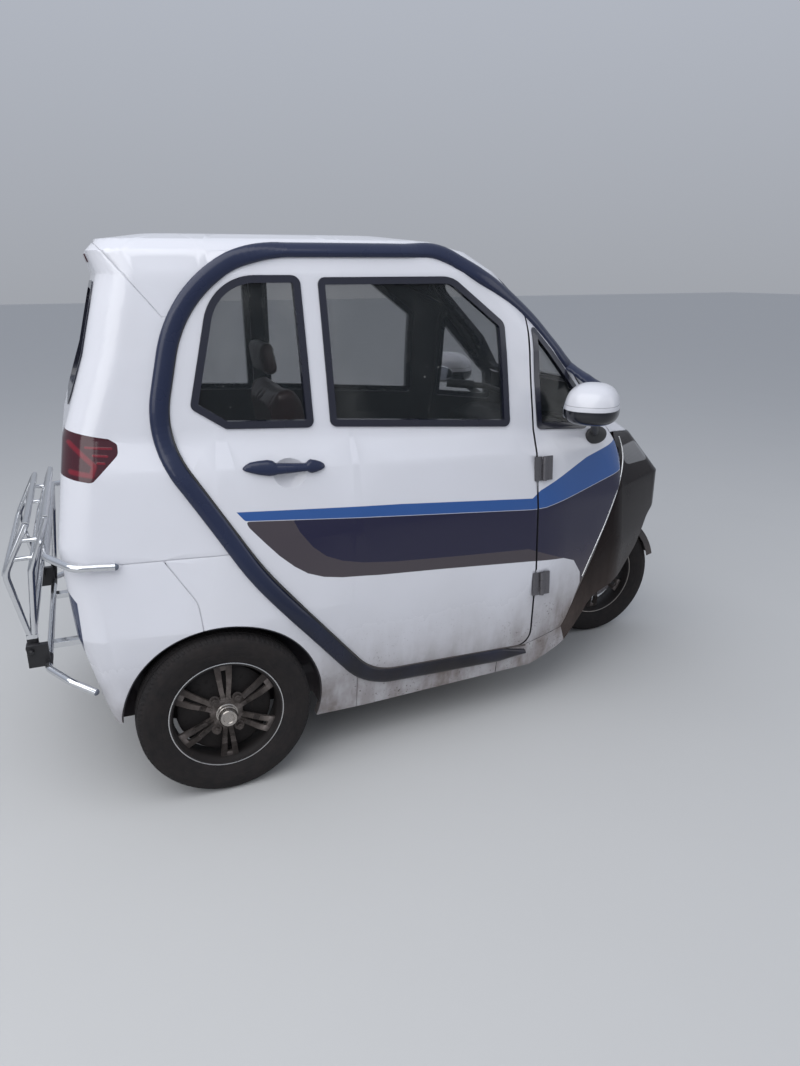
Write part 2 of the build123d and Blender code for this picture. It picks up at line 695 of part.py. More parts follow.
# Wheels
def tyre(width, outer_radius, bead_radius):
    half = width / 2
    profile = [
        (bead_radius, -half * 0.8, 8),
        (bead_radius, half * 0.8, 8),
        (bead_radius + 34, half, 30),
        (outer_radius - 14, half * 0.9, 14),
        (outer_radius, half * 0.6, 60),
        (outer_radius, -half * 0.6, 60),
        (outer_radius - 14, -half * 0.9, 14),
        (bead_radius + 34, -half, 30),
    ]
    face = Face(rounded_wire(profile, lambda radius, y: (radius, y, 0)))
    return Solid.revolve(face, 360, Axis.Y)


def rim(width, face_y):
    """Barrel, pierced disc and hub; face_y is where the disc's outer face lies."""
    half = width / 2 * 0.8
    bed = rim_radius - 8
    barrel_profile = [
        (rim_radius - seat_gap, -half, 0), (rim_radius - seat_gap, half, 0), (bed - 2, half, 0),
        (bed - 6, half - 14, 0), (bed - 6, -half + 14, 0), (bed - 2, -half, 0),
    ]
    barrel = Solid.revolve(Face(rounded_wire(barrel_profile, lambda radius, y: (radius, y, 0))), 360, Axis.Y)
    disc_radius = bed - 5
    thick = 16
    disc = Pos(0, face_y - thick / 2, 0) * Rot(90, 0, 0) * Cylinder(disc_radius, thick)
    window_in, window_out = hub_radius + 14, disc_radius - 5
    step = 360 / spoke_pairs
    for index in range(spoke_pairs):
        middle = radians(index * step)
        half_in, half_out = radians(step * 0.15), radians(step * 0.348)
        wide = [
            (window_in * cos(middle - half_in), window_in * sin(middle - half_in), 5),
            (window_out * cos(middle - half_out), window_out * sin(middle - half_out), 14),
            (window_out * cos(middle + half_out), window_out * sin(middle + half_out), 14),
            (window_in * cos(middle + half_in), window_in * sin(middle + half_in), 5),
        ]
        disc -= side_prism(wide, face_y - thick - 1, face_y + 1)
        slot_middle = middle + radians(step / 2)
        along = (cos(slot_middle), sin(slot_middle))
        across = (-along[1], along[0])
        slot = [
            (along[0] * radius + across[0] * offset, along[1] * radius + across[1] * offset, 3)
            for radius, offset in ((window_in + 2, -6), (window_out - 10, -6), (window_out - 10, 6), (window_in + 2, 6))
        ]
        disc -= side_prism(slot, face_y - thick - 1, face_y + 1)
    hub = Pos(0, face_y - 30, 0) * Rot(90, 0, 0) * Cylinder(hub_radius, 60)
    return barrel + disc + hub


def wheel_at(solid, x, y, bore_radius):
    solid -= Rot(90, 0, 0) * Cylinder(bore_radius, 400)
    placed = Pos(x, abs(y), axle_height) * solid
    return placed if y >= 0 else mirror(placed, about=Plane.XZ)


rear_tyre = tyre(rear_tyre_width, tyre_radius, rim_radius)
rear_rim = rim(rear_tyre_width, rear_tyre_width / 2 * 0.8 - 12)
for name, y in (("right", -rear_wheel_y), ("left", rear_wheel_y)):
    write(f"rear_tyre_{name}", wheel_at(rear_tyre, 0, y, 20))
    write(f"rear_rim_{name}", wheel_at(rear_rim, 0, y, axle_radius + running_clearance))
front_rim = rim(front_tyre_width, front_tyre_width / 2 * 0.8 - 12)
write("front_tyre", wheel_at(tyre(front_tyre_width, tyre_radius, rim_radius), wheelbase, 0, 20))
write("front_rim", wheel_at(front_rim, wheelbase, 0, axle_radius - 3 + running_clearance))

# Mirrors
mirror_centre = (1177, -530, 1070)
mirror_foot = (1312, -352, 922)
mirror_elbow = (1192, -500, 1052)
mirror_head = Pos(*mirror_centre) * Rot(0, 0, 12) * fillet(Box(92, 176, 118).edges(), 42)
stem = rod(mirror_foot, mirror_elbow, 10)
write("mirrors", *both_sides((mirror_head + stem) - outer))

# Rear bumper and folding rack
bumper_radius = bumper_tube / 2
upper_bumper = [(-250, 493, 722), (-350, 487, 728), (-418, 402, 742)]
lower_bumper = [(-340, 478, 362), (-400, 450, 392), (-455, 370, 404)]
post_y = 345
ear_y = rack_half_width + 24
pin_radius = 6


def hoop(points, radius, bend):
    """A tube bent round the rear from one side to the other."""
    right = [(x, -y, z) for x, y, z in points]
    return bent_tube(right + points[::-1], radius, bend)


bumper = hoop(upper_bumper, bumper_radius, 50) + hoop(lower_bumper, bumper_radius, 35)
for side in (-1, 1):
    bumper += rod((upper_bumper[-1][0], side * post_y, upper_bumper[-1][2]),
                  (lower_bumper[-1][0], side * post_y, lower_bumper[-1][2]), bumper_radius)
    bumper += block(-458, -300, side * 200 - 15, side * 200 + 15, 392, 408)
    bumper += block(-508, -452, side * ear_y - 9, side * ear_y + 9, 396, 462)
    bumper -= Pos(rack_pivot_x, side * ear_y, rack_pivot_z) * Rot(90, 0, 0) * Cylinder(
        pin_radius + running_clearance, 60
    )
tail_block = outer & block(-420, -200, -520, 520, 250, 800)
write("rear_bumper", bumper - tail_block)

rack_radius = rack_tube / 2
inner_rail = [(-486, 470), (-466, 675), (-412, 820)]
outer_rail = [(-494, 470), (rack_bulge_x, 672), (-462, 806)]
rack = None
for side in (-1, 1):
    y = side * rack_half_width
    for rail in (inner_rail, outer_rail):
        tube = bent_tube([(x, y, z) for x, z in rail], rack_radius, 60)
        rack = tube if rack is None else rack + tube
    rack += Pos(rack_pivot_x, y, rack_pivot_z) * Rot(90, 0, 0) * Cylinder(14, 22)
    rack += block(rack_pivot_x - 8, rack_pivot_x + 18, y - 8, y + 8, rack_pivot_z, 484)
    rack += rod((rack_pivot_x, y, rack_pivot_z), (rack_pivot_x, side * (ear_y + 18), rack_pivot_z), pin_radius)
    for (x_in, z_in), (x_out, z_out) in (((-434, 762), (-484, 764)), ((-452, 712), (-511, 712))):
        rack += rod((x_in, y, z_in), (x_out, y, z_out), rack_radius * 0.7)
rung_places = [(-484, 495), (-474, 590), (-466, 675), (-438, 750), inner_rail[-1], outer_rail[-1], outer_rail[1]]
for x, z in rung_places:
    rack += rod((x, -rack_half_width, z), (x, rack_half_width, z), rack_radius)
write("folding_rack", rack)
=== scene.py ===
import json
import math

import bmesh
import bpy
from mathutils import Matrix, Vector
from mathutils.bvhtree import BVHTree


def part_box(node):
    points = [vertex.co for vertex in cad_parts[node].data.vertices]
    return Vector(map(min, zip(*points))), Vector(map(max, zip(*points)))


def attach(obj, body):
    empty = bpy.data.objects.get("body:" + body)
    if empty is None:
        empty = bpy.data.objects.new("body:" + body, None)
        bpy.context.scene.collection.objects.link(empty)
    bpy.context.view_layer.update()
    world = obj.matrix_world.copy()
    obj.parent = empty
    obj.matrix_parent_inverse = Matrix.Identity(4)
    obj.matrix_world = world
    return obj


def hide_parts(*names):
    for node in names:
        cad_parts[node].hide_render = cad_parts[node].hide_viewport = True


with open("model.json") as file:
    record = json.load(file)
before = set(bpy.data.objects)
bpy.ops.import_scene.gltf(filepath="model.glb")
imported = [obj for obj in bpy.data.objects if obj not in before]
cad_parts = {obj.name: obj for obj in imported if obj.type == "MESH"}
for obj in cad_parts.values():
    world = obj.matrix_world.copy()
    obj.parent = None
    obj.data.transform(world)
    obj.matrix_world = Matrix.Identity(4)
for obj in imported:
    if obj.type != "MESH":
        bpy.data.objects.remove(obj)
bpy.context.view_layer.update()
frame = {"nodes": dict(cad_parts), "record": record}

rearAxle = -0.66745  # where the rear axle lies along the car, in metres
frontAxle = rearAxle + 1.617
axleHeight = 0.25
wheelSide = 0.5  # from the middle of the car to the middle of a rear tyre
rearWidth = 0.112  # of the tyres
frontWidth = 0.096
sides = {"right": -1, "left": 1}


# Shader maths
class Socket:
    def __init__(self, finish, link):
        self.finish = finish
        self.link = link

    def maths(self, operation, *others):
        values = {index: value for index, value in enumerate((self, *others))}
        return self.finish.node("ShaderNodeMath", {"operation": operation}, values)

    def __add__(self, other):
        return self.maths("ADD", other)

    def __sub__(self, other):
        return self.maths("SUBTRACT", other)

    def __rsub__(self, other):
        return self.finish.node("ShaderNodeMath", {"operation": "SUBTRACT"}, {0: other, 1: self})

    def __mul__(self, other):
        return self.maths("MULTIPLY", other)

    def __truediv__(self, other):
        return self.maths("DIVIDE", other)

    def __pow__(self, other):
        return self.maths("POWER", other)

    __radd__ = __add__
    __rmul__ = __mul__

    def absolute(self):
        return self.maths("ABSOLUTE")

    def atLeast(self, other):
        return self.maths("MAXIMUM", other)

    def atMost(self, other):
        return self.maths("MINIMUM", other)

    def share(self):  # kept between 0 and 1
        return self.atMost(1.0).atLeast(0.0)

    def smoothLeast(self, other, reach):  # the lesser, with the corner between them rounded
        return self.maths("SMOOTH_MIN", other, reach)

    def sine(self):
        return self.maths("SINE")

    def step(self, edge, width):  # 0 below the edge, 1 above it, soft over width
        return self.finish.node(
            "ShaderNodeMapRange", {"interpolation_type": "SMOOTHSTEP"},
            {0: self, 1: edge - width / 2, 2: edge + width / 2, 3: 0.0, 4: 1.0},
        )


class Finish:
    def __init__(self, name, color, roughness, **sockets):
        self.material = bpy.data.materials.new(name)
        self.material.use_nodes = True
        self.tree = self.material.node_tree
        self.shader = self.tree.nodes["Principled BSDF"]
        self.set(Base_Color=(*color, 1.0), Roughness=roughness, **sockets)
        self.place = self.node("ShaderNodeTexCoord", {}, {}, "Object")

    def fill(self, sockets, values):
        for key, value in values.items():
            if isinstance(value, Socket):
                self.tree.links.new(value.link, sockets[key])
            else:
                sockets[key].default_value = value

    def set(self, **values):
        self.fill(self.shader.inputs, {key.replace("_", " "): value for key, value in values.items()})

    def node(self, kind, settings, sockets, output=0):
        made = self.tree.nodes.new(kind)
        for key, value in settings.items():
            setattr(made, key, value)
        self.fill(made.inputs, sockets)
        return Socket(self, made.outputs[output])

    def vector(self, operation, first, second, output=0):
        return self.node("ShaderNodeVectorMath", {"operation": operation}, {0: first, 1: second}, output)

    def noise(self, scale, detail=3.0, roughness=0.5, stretch=None):
        place = self.vector("MULTIPLY", self.place, stretch) if stretch else self.place
        sockets = {"Vector": place, "Scale": scale, "Detail": detail, "Roughness": roughness}
        return self.node("ShaderNodeTexNoise", {}, sockets)

    def axes(self):
        parts = self.tree.nodes.new("ShaderNodeSeparateXYZ")
        self.tree.links.new(self.place.link, parts.inputs[0])
        return [Socket(self, socket) for socket in parts.outputs]

    def mix(self, factor, first, second):
        first, second = (color if isinstance(color, Socket) else (*color, 1.0) for color in (first, second))
        return self.node("ShaderNodeMix", {"data_type": "RGBA"}, {0: factor, 6: first, 7: second}, 2)

    def bumped(self, height, strength, distance):  # the finished material, with its relief
        sockets = {"Height": height, "Strength": strength, "Distance": distance}
        self.set(Normal=self.node("ShaderNodeBump", {}, sockets))
        return self.material


def pieceLine(x, points):  # the height of a bent line at x, as a shader expression
    (x0, z0), (x1, z1) = points[0], points[1]
    slope = (z1 - z0) / (x1 - x0)
    value = (x - x0) * slope + z0
    for (xa, za), (xb, zb) in zip(points[1:], points[2:]):
        nextSlope = (zb - za) / (xb - xa)
        value = value + (x - xa).atLeast(0.0) * (nextSlope - slope)
        slope = nextSlope
    return value


# Road dust with painted shade: the film is dark enough to paint the shade on the low panels too. Shared by
# the lower paint, the wheels and the plastics
dustAndShade = {
    "color": (0.15, 0.118, 0.105), "middle": 0.32, "reach": 0.46, "front": 1.05, "rise": 0.12,
    "specks": (0.05, 0.032, 0.026),
}


def dustAndShadeFilm(finish, base, height, amount):
    # a film that thickens towards the road, with splashed specks: partly dust, partly painted shade on the
    # low and front panels
    x, y, z = finish.axes()
    spray = (x - rearAxle).step(dustAndShade["front"], 0.3) * dustAndShade["rise"]
    low = (1 - (z - spray).step(dustAndShade["middle"] + height, dustAndShade["reach"])) ** 1.4
    patches = finish.noise(7.0, 5.0, 0.62).step(0.52, 0.34)
    streaks = finish.noise(22.0, 3.0, 0.55, (1.0, 1.0, 0.22)).step(0.5, 0.3)
    mask = (low * (patches * 0.4 + streaks * 0.3 + 0.5) * amount).atMost(0.93)
    specks = finish.noise(130.0, 2.0, 0.5).step(0.66, 0.06) * finish.noise(9.0, 2.0).step(0.5, 0.2) * low
    return finish.mix(specks * 0.8, finish.mix(mask, base, dustAndShade["color"]), dustAndShade["specks"]), mask


# Body paint with its three stripes. Points are metres forward of the rear axle, and height, but in
# greyFront and nose, whose lines run up, the height comes first.
stripes = {
    "lightTop": [
        (0.076, 0.832), (0.198, 0.824), (0.559, 0.801), (1.023, 0.763), (1.055, 0.785), (1.272, 0.860),
        (1.441, 0.894),
    ],
    "lightBottom": [(0.098, 0.804), (1.024, 0.726), (1.075, 0.726), (1.206, 0.745), (1.46, 0.785)],
    "navyBottom": [
        (0.231, 0.796), (0.249, 0.756), (0.284, 0.708), (0.322, 0.676), (0.370, 0.655), (0.437, 0.639),
        (0.540, 0.626), (0.758, 0.610), (1.025, 0.593), (1.147, 0.583), (1.233, 0.537),
    ],
    "greyBottom": [
        (0.077, 0.836), (0.108, 0.784), (0.148, 0.737), (0.185, 0.696), (0.225, 0.660), (0.263, 0.634),
        (0.310, 0.616), (0.367, 0.605), (0.487, 0.592), (0.683, 0.578), (1.027, 0.550), (1.22, 0.529),
    ],
    "greyFront": [
        (0.25, 1.17), (0.273, 1.183), (0.347, 1.226), (0.412, 1.256), (0.463, 1.25), (0.516, 1.212),
        (0.56, 1.1),
    ],
    "nose": [
        (0.34, 1.222), (0.374, 1.234), (0.443, 1.265), (0.497, 1.2923), (0.548, 1.3252), (0.61, 1.3698),
        (0.686, 1.4178), (0.749, 1.4556), (0.808, 1.4967), (0.86, 1.53),
    ],
    "dark": (0.008, 0.006, 0.008), "light": (0.022, 0.082, 0.27),
    "navy": (0.008, 0.007, 0.032), "grey": (0.052, 0.042, 0.05),
    "tip": (0.076, 0.832), "tipSlope": 1.27, "frontTop": 0.62, "edge": 0.0014, "corner": 0.03,
}
paint = {
    "white": (0.64, 0.645, 0.69), "aged": (0.58, 0.58, 0.605), "roughness": 0.24, "peel": 0.035,
    "coat": 0.35, "coatRoughness": 0.08,
}
# The lining begins where a face turns towards the middle of the cabin
trim = {"color": (0.028, 0.028, 0.033), "middle": (0.0, 0.0, 0.85), "turn": -0.06, "soft": 0.04}
# The blue insert of the tail reaches as far forward as its edge, given by (height, forward)
tailInsert = {
    "edge": [(0.40, -0.44), (0.43, -0.352), (0.62, -0.354), (0.65, -0.378), (0.68, -0.44)],
    "color": (0.02, 0.03, 0.075), "soft": 0.0015,
}


def lined(finish, color):
    # faces that look towards the middle of the cabin are dark trim
    normal = finish.node("ShaderNodeTexCoord", {}, {}, "Normal")
    outward = finish.vector("SUBTRACT", finish.place, trim["middle"])
    facing = finish.vector("DOT_PRODUCT", outward, normal, "Value")
    inner = 1 - facing.step(trim["turn"], trim["soft"])
    return finish.mix(inner, color, trim["color"]), inner


def paintFinish(name, recolor=None, lining=True, dirtAndShade=1.0, rise=0.0):
    coats = {"Coat_Weight": paint["coat"], "Coat_Roughness": paint["coatRoughness"]}
    finish = Finish(name, paint["white"], paint["roughness"], IOR=1.45, **coats)
    color = finish.mix(finish.noise(3.0, 4.0).step(0.55, 0.5) * 0.5, paint["white"], paint["aged"])
    if recolor:
        color = recolor(finish, color)
    # the film of dust and painted shade goes over the paint
    color, mask = dustAndShadeFilm(finish, color, rise, dirtAndShade)
    inner = 0.0
    if lining:
        color, inner = lined(finish, color)
        finish.set(Coat_Weight=(1 - inner) * paint["coat"])
    finish.set(Base_Color=color, Roughness=(mask * 0.5 + inner * 0.5 + paint["roughness"]).atMost(0.85))
    return finish.bumped(finish.noise(420.0, 2.0), paint["peel"], 0.001)


def stripeColors(finish, color):
    x, y, z = finish.axes()
    x = x - rearAxle
    edge, corner = stripes["edge"], stripes["corner"]
    lightBottom = pieceLine(x, stripes["lightBottom"])
    under = lightBottom - z
    grey = (z - pieceLine(x, stripes["greyBottom"])).smoothLeast(under, corner)
    front = (x - pieceLine(z, stripes["greyFront"])).atMost(stripes["frontTop"] - z)
    navy = (z - pieceLine(x, stripes["navyBottom"])).smoothLeast(under, corner * 0.4)
    tip = (x - stripes["tip"][0]) * stripes["tipSlope"] + z - stripes["tip"][1]
    light = tip.smoothLeast(z - lightBottom, corner * 0.3).atMost(pieceLine(x, stripes["lightTop"]) - z)
    nose = x - pieceLine(z, stripes["nose"])
    layers = [(grey, "grey"), (front, "navy"), (navy, "navy"), (light, "light"), (nose, "dark")]
    for distance, tone in layers:
        color = finish.mix((distance / edge).share(), color, stripes[tone])
    return color


def insertColor(finish, color):
    x, y, z = finish.axes()
    reach = pieceLine(z, tailInsert["edge"]) - (x - rearAxle)
    return finish.mix((reach / tailInsert["soft"]).share(), color, tailInsert["color"])


mirrorCap = {
    "parting": 1.054, "black": (0.008, 0.009, 0.014), "line": 0.014, "lineWide": 0.0014,
    "lineColor": (0.05, 0.05, 0.06),
}


def capColor(finish, color):
    x, y, z = finish.axes()
    away = (z - mirrorCap["parting"] - mirrorCap["line"]).absolute()
    line = 1 - (away / mirrorCap["lineWide"]).atMost(1.0)
    black = 1 - z.step(mirrorCap["parting"], 0.002)
    return finish.mix(line * 0.7, finish.mix(black, color, mirrorCap["black"]), mirrorCap["lineColor"])


def glossPlastic(name, color, roughness, coat, low=None, density=1.5, amount=0.5):
    coats = {"Coat_Weight": coat, "Coat_Roughness": 0.05}
    finish = Finish(name, color, roughness, IOR=density, Specular_IOR_Level=density - 1.0, **coats)
    tone = color
    # from about 0.77 m down, the colour clouds into low: on the door strip a painted reflection of the dark
    # ground, on the nose fascia a lighter brown
    if low:
        x, y, z = finish.axes()
        clouds = finish.noise(5.0, 4.0).step(0.45, 0.5) * 0.6 + 0.4
        tone = finish.mix((1 - z.step(0.52, 0.5)) * clouds, color, low)
    tone, mask = dustAndShadeFilm(finish, tone, -0.06, amount)
    finish.set(
        Base_Color=tone,
        Roughness=mask * 0.5 + finish.noise(9.0, 4.0).step(0.55, 0.5) * 0.08 + roughness,
    )
    return finish.bumped(finish.noise(60.0, 2.0), 0.03, 0.001)


def grainPlastic(name, color, roughness=0.55, grain=900.0, amount=0.5):
    finish = Finish(name, color, roughness)
    tone = finish.noise(12.0, 5.0).step(0.5, 0.6)
    worn = finish.mix(tone * 0.5, color, tuple(v * 1.5 + 0.01 for v in color))
    worn, mask = dustAndShadeFilm(finish, worn, 0.0, amount)
    finish.set(Base_Color=worn, Roughness=mask * 0.3 + roughness)
    return finish.bumped(finish.noise(grain, 2.0), 0.25, 0.0006)


def metal(name, color, roughness, metallic, speckle=60.0, amount=0.5):
    finish = Finish(name, color, roughness, Metallic=metallic)
    spots = finish.noise(speckle, 6.0, 0.65).step(0.62, 0.2)
    tone = finish.mix(spots * 0.5, color, tuple(v * 0.45 for v in color))
    tone, mask = dustAndShadeFilm(finish, tone, -0.02, amount)
    finish.set(
        Base_Color=tone,
        Metallic=(1 - mask) * metallic,
        Roughness=(mask * 0.6 + spots * 0.15 + roughness).atMost(1.0),
    )
    return finish.bumped(finish.noise(300.0, 3.0), 0.08, 0.0005)


tube = {"color": (0.66, 0.67, 0.69), "rust": (0.20, 0.17, 0.14), "roughness": 0.14}
rackPivot = {"top": 0.474, "reach": 0.355, "inner": 0.285, "black": (0.012, 0.012, 0.014), "soft": 0.001}


def tubeChrome(name):
    # polished tube; the pivot blocks and their brackets are black
    finish = Finish(name, tube["color"], tube["roughness"], Metallic=1.0)
    x, y, z = finish.axes()
    aside, soft = y.absolute(), rackPivot["soft"]
    below = 1 - z.step(rackPivot["top"], soft)
    pivot = below * (1 - aside.step(rackPivot["reach"], soft)) * aside.step(rackPivot["inner"], soft)
    spots = finish.noise(160.0, 5.0, 0.65).step(0.66, 0.14) * 0.5
    worn = finish.mix(spots, tube["color"], tube["rust"])
    finish.set(
        Base_Color=finish.mix(pivot, worn, rackPivot["black"]),
        Metallic=1 - pivot,
        Roughness=pivot * 0.3 + spots * 0.4 + tube["roughness"],
    )
    return finish.bumped(finish.noise(40.0, 2.0), 0.05, 0.001)


alloy = {"color": (0.19, 0.165, 0.155), "grime": (0.045, 0.036, 0.031), "metallic": 0.75}


def wheelAlloy(name, axleX):
    # brake dust lies thickest towards the hub and in the slots
    finish = Finish(name, alloy["color"], 0.46, Metallic=alloy["metallic"])
    x, y, z = finish.axes()
    radius = ((x - axleX) ** 2 + (z - axleHeight) ** 2) ** 0.5
    grime = finish.noise(34.0, 5.0, 0.62).step(0.48, 0.4)
    mask = (grime * (1 - (radius - 0.05) / 0.22)).share()
    finish.set(
        Base_Color=finish.mix(mask, alloy["color"], alloy["grime"]),
        Metallic=(1 - mask * 0.7) * alloy["metallic"],
        Roughness=mask * 0.3 + 0.4,
    )
    return finish.bumped(finish.noise(260.0, 3.0), 0.1, 0.0006)


def windowGlass(name, color, alpha):
    finish = Finish(name, color, 0.03, IOR=1.5, Coat_Weight=0.3, Coat_Roughness=0.02)
    smear = finish.noise(5.0, 5.0, 0.6, (1.0, 1.0, 0.5)).step(0.62, 0.3)
    specks = finish.noise(90.0, 2.0).step(0.73, 0.04)
    film = (smear * 0.3 + specks * 0.5).atMost(1.0)
    finish.set(
        Base_Color=finish.mix(film, color, (0.4, 0.4, 0.38)),
        Roughness=smear * 0.06 + 0.025,
        Alpha=smear * 0.04 + specks * 0.2 + alpha,
    )
    return finish.material


def leather(name, color, channel):
    # seams run forwards, one channel apart
    finish = Finish(name, color, 0.42, Sheen_Weight=0.15)
    x, y, z = finish.axes()
    grain = finish.node("ShaderNodeTexVoronoi", {"feature": "F1"}, {"Vector": finish.place, "Scale": 420.0})
    folds = finish.noise(26.0, 4.0, 0.6)
    worn = finish.noise(6.0, 5.0, 0.6).step(0.56, 0.3)
    sewn = ((y * (math.pi / channel)).sine().absolute() / 0.12).atMost(1.0)
    finish.set(
        Base_Color=finish.mix(worn * 0.4, color, tuple(v * 1.5 + 0.01 for v in color)),
        Roughness=worn * 0.12 + 0.36,
    )
    return finish.bumped(grain * 0.12 + folds * 0.25 + sewn, 0.4, 0.003)


tyre = {
    "rubber": (0.008, 0.0072, 0.0078), "mud": (0.026, 0.021, 0.020), "blocks": 92, "treadFrom": 0.2385,
    "rings": (0.186, 0.2, 0.2175),
}


def tyreRubber(name, axleX, middle):
    finish = Finish(name, tyre["rubber"], 0.75, IOR=1.35)
    x, y, z = finish.axes()
    across, up = x - axleX, z - axleHeight
    radius = (across ** 2 + up ** 2) ** 0.5
    angle = finish.node("ShaderNodeMath", {"operation": "ARCTAN2"}, {0: up, 1: across})
    side = (y - middle).absolute()
    sipes = ((angle * tyre["blocks"] + side * 90.0).sine() / 0.35).atMost(1.0).atLeast(-1.0)
    tread = radius.step(tyre["treadFrom"], 0.004)
    ribs = 0.0
    for ring in tyre["rings"]:
        ribs = (1 - ((radius - ring).absolute() / 0.0012).atMost(1.0)) + ribs
    patches = finish.noise(20.0, 5.0, 0.65).step(0.5, 0.4)
    brushed = finish.noise(60.0, 3.0, 0.6).step(0.5, 0.5)
    muddy = (patches * 0.5 + brushed * 0.25) * (1 - tread * 0.4)
    finish.set(Base_Color=finish.mix(muddy, tyre["rubber"], tyre["mud"]), Roughness=patches * 0.12 + 0.72)
    return finish.bumped(sipes * tread * 1.4 + ribs * 0.6 + finish.noise(400.0, 3.0) * 0.12, 0.6, 0.002)


# Tail lamp: a red lens with a hooked band and three short bars, seen from the side
lampBars = [
    ((-0.284, 1.026), (-0.222, 1.020)), ((-0.268, 1.006), (-0.234, 1.002)),
    ((-0.259, 0.987), (-0.243, 0.985)),
]
lampTones = {"lens": (0.040, 0.005, 0.011), "rib": (0.050, 0.005, 0.011), "glow": (0.15, 0.006, 0.016)}
lampHook = [(-0.322, 1.036), (-0.268, 0.980), (-0.278, 0.957), (-0.326, 0.966)]


def nearLine(x, z, start, end, width):
    # 1 near the line from start to end, 0 away from it
    (x0, z0), (x1, z1) = start, end
    spanX, spanZ = x1 - x0, z1 - z0
    length = spanX * spanX + spanZ * spanZ
    share = (((x - x0) * spanX + (z - z0) * spanZ) / length).share()
    offX, offZ = x - x0 - share * spanX, z - z0 - share * spanZ
    return 1 - (offX ** 2 + offZ ** 2) ** 0.5 / width


def tailLens(name):
    finish = Finish(name, lampTones["lens"], 0.12, Coat_Weight=0.35, Coat_Roughness=0.04, IOR=1.4)
    x, y, z = finish.axes()
    x = x - rearAxle
    glow = 0.0
    for start, end in lampBars:
        glow = nearLine(x, z, start, end, 0.0042).atLeast(0.0) + glow
    for start, end in zip(lampHook, lampHook[1:]):
        glow = nearLine(x, z, start, end, 0.0095).atLeast(0.0).atLeast(glow)
    glow = glow.step(0.35, 0.7)
    ribs = (z * 1400.0).sine() * (x * 1400.0).sine() * 0.5 + 0.5
    lens = finish.mix(ribs * 0.5, lampTones["lens"], lampTones["rib"])
    finish.set(Base_Color=finish.mix(glow, lens, lampTones["glow"]))
    return finish.bumped(ribs * 0.2 + glow, 0.2, 0.001)


def lampLens(name, color):
    finish = Finish(name, color, 0.08, Coat_Weight=1.0, Coat_Roughness=0.03, IOR=1.5)
    x, y, z = finish.axes()
    ribs = ((z * 500.0).sine() * 0.5 + 0.5) * ((y * 500.0).sine() * 0.5 + 0.5)
    ridge = tuple(min(v * 1.9 + 0.03, 1.0) for v in color)
    finish.set(Base_Color=finish.mix(ribs * 0.6, color, ridge))
    return finish.bumped(ribs, 0.12, 0.001)


whitePaint = paintFinish("whitePaint")
stripedPaint = paintFinish("stripedPaint", stripeColors)
tailPaint = paintFinish("tailPaint", insertColor)
# on the sill the film of dust and painted shade reaches 5 cm higher, at 0.9 strength
sillPaint = paintFinish("sillPaint", None, True, 0.9, 0.05)
mirrorPaint = paintFinish("mirrorPaint", capColor, False)
darkGloss = glossPlastic("darkGloss", (0.0065, 0.0038, 0.0042), 0.22, 0.08, (0.014, 0.0085, 0.007), 1.24)
# the strip's near-black low tone is a painted reflection of the dark ground
moulding = glossPlastic("moulding", (0.014, 0.020, 0.050), 0.26, 0.2, (0.004, 0.004, 0.006), 1.4, 0.15)
windowFrame = glossPlastic("windowFrame", (0.010, 0.011, 0.022), 0.22, 0.3)
clearGlass = windowGlass("clearGlass", (0.02, 0.025, 0.028), 0.22)
tailRed = tailLens("tailRed")
lampClear = lampLens("lampClear", (0.035, 0.034, 0.037))
frameSteel = metal("frameSteel", (0.02, 0.02, 0.021), 0.5, 0.3)
chrome = tubeChrome("chrome")
brightTrim = metal("brightTrim", (0.60, 0.60, 0.60), 0.24, 1.0, 30.0, 0.2)
capChrome = metal("capChrome", (0.42, 0.39, 0.36), 0.2, 1.0, 18.0, 0.2)
nutSteel = metal("nutSteel", (0.075, 0.066, 0.062), 0.5, 0.8, 200.0, 0.3)
hingeSteel = metal("hingeSteel", (0.15, 0.145, 0.155), 0.45, 0.8, 200.0, 0.2)
drumIron = metal("drumIron", (0.016, 0.014, 0.014), 0.7, 0.4, 60.0, 0.08)
# the rim barrel is near black: painted shade for the shadow inside the wheel
barrelPaintedShade = metal("barrelPaintedShade", (0.014, 0.012, 0.012), 0.62, 0.3, 30.0, 0.05)
blackPlastic = grainPlastic("blackPlastic", (0.02, 0.02, 0.022))
capGrey = grainPlastic("capGrey", (0.085, 0.10, 0.13), 0.4)
linerPlastic = grainPlastic("linerPlastic", (0.012, 0.012, 0.018), 0.5, 700.0, 0.3)
seatLeather = leather("seatLeather", (0.05, 0.016, 0.015), 0.075)
alloyRear = wheelAlloy("alloyRear", rearAxle)
alloyFront = wheelAlloy("alloyFront", frontAxle)
castGrey = metal("castGrey", (0.10, 0.10, 0.105), 0.6, 0.5)
floorGrey = grainPlastic("floorGrey", (0.05, 0.05, 0.053), 0.7, 250.0)
batteryCase = grainPlastic("batteryCase", (0.03, 0.034, 0.04), 0.5)
mirrorGlass = metal("mirrorGlass", (0.55, 0.57, 0.60), 0.04, 1.0, 20.0, 0.1)
print("finishes made")


# Pieces
def placed(name, data):
    made = bpy.data.objects.new(name, data)
    bpy.context.scene.collection.objects.link(made)
    return made


def addPiece(name, mesh, material, body, replaced=(), smooth=40):
    piece = placed(name, mesh)
    mesh.materials.clear()
    mesh.materials.append(material)
    for face in mesh.polygons:
        face.use_smooth = True
    mesh.set_sharp_from_angle(angle=math.radians(smooth))
    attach(piece, body)
    if replaced:
        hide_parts(*replaced)
    return piece


def meshOf(shape, name):
    mesh = bpy.data.meshes.new(name)
    shape.to_mesh(mesh)
    shape.free()
    return mesh


bodyOf = {node: body for body, nodes in frame["record"]["behaviour"]["bodies"].items() for node in nodes}
slotOf = {row["node"]: row["material_slot"] for row in frame["record"]["subparts"]}
handHollow = {"place": (0.236, 0.521, 0.937), "radius": 0.073}


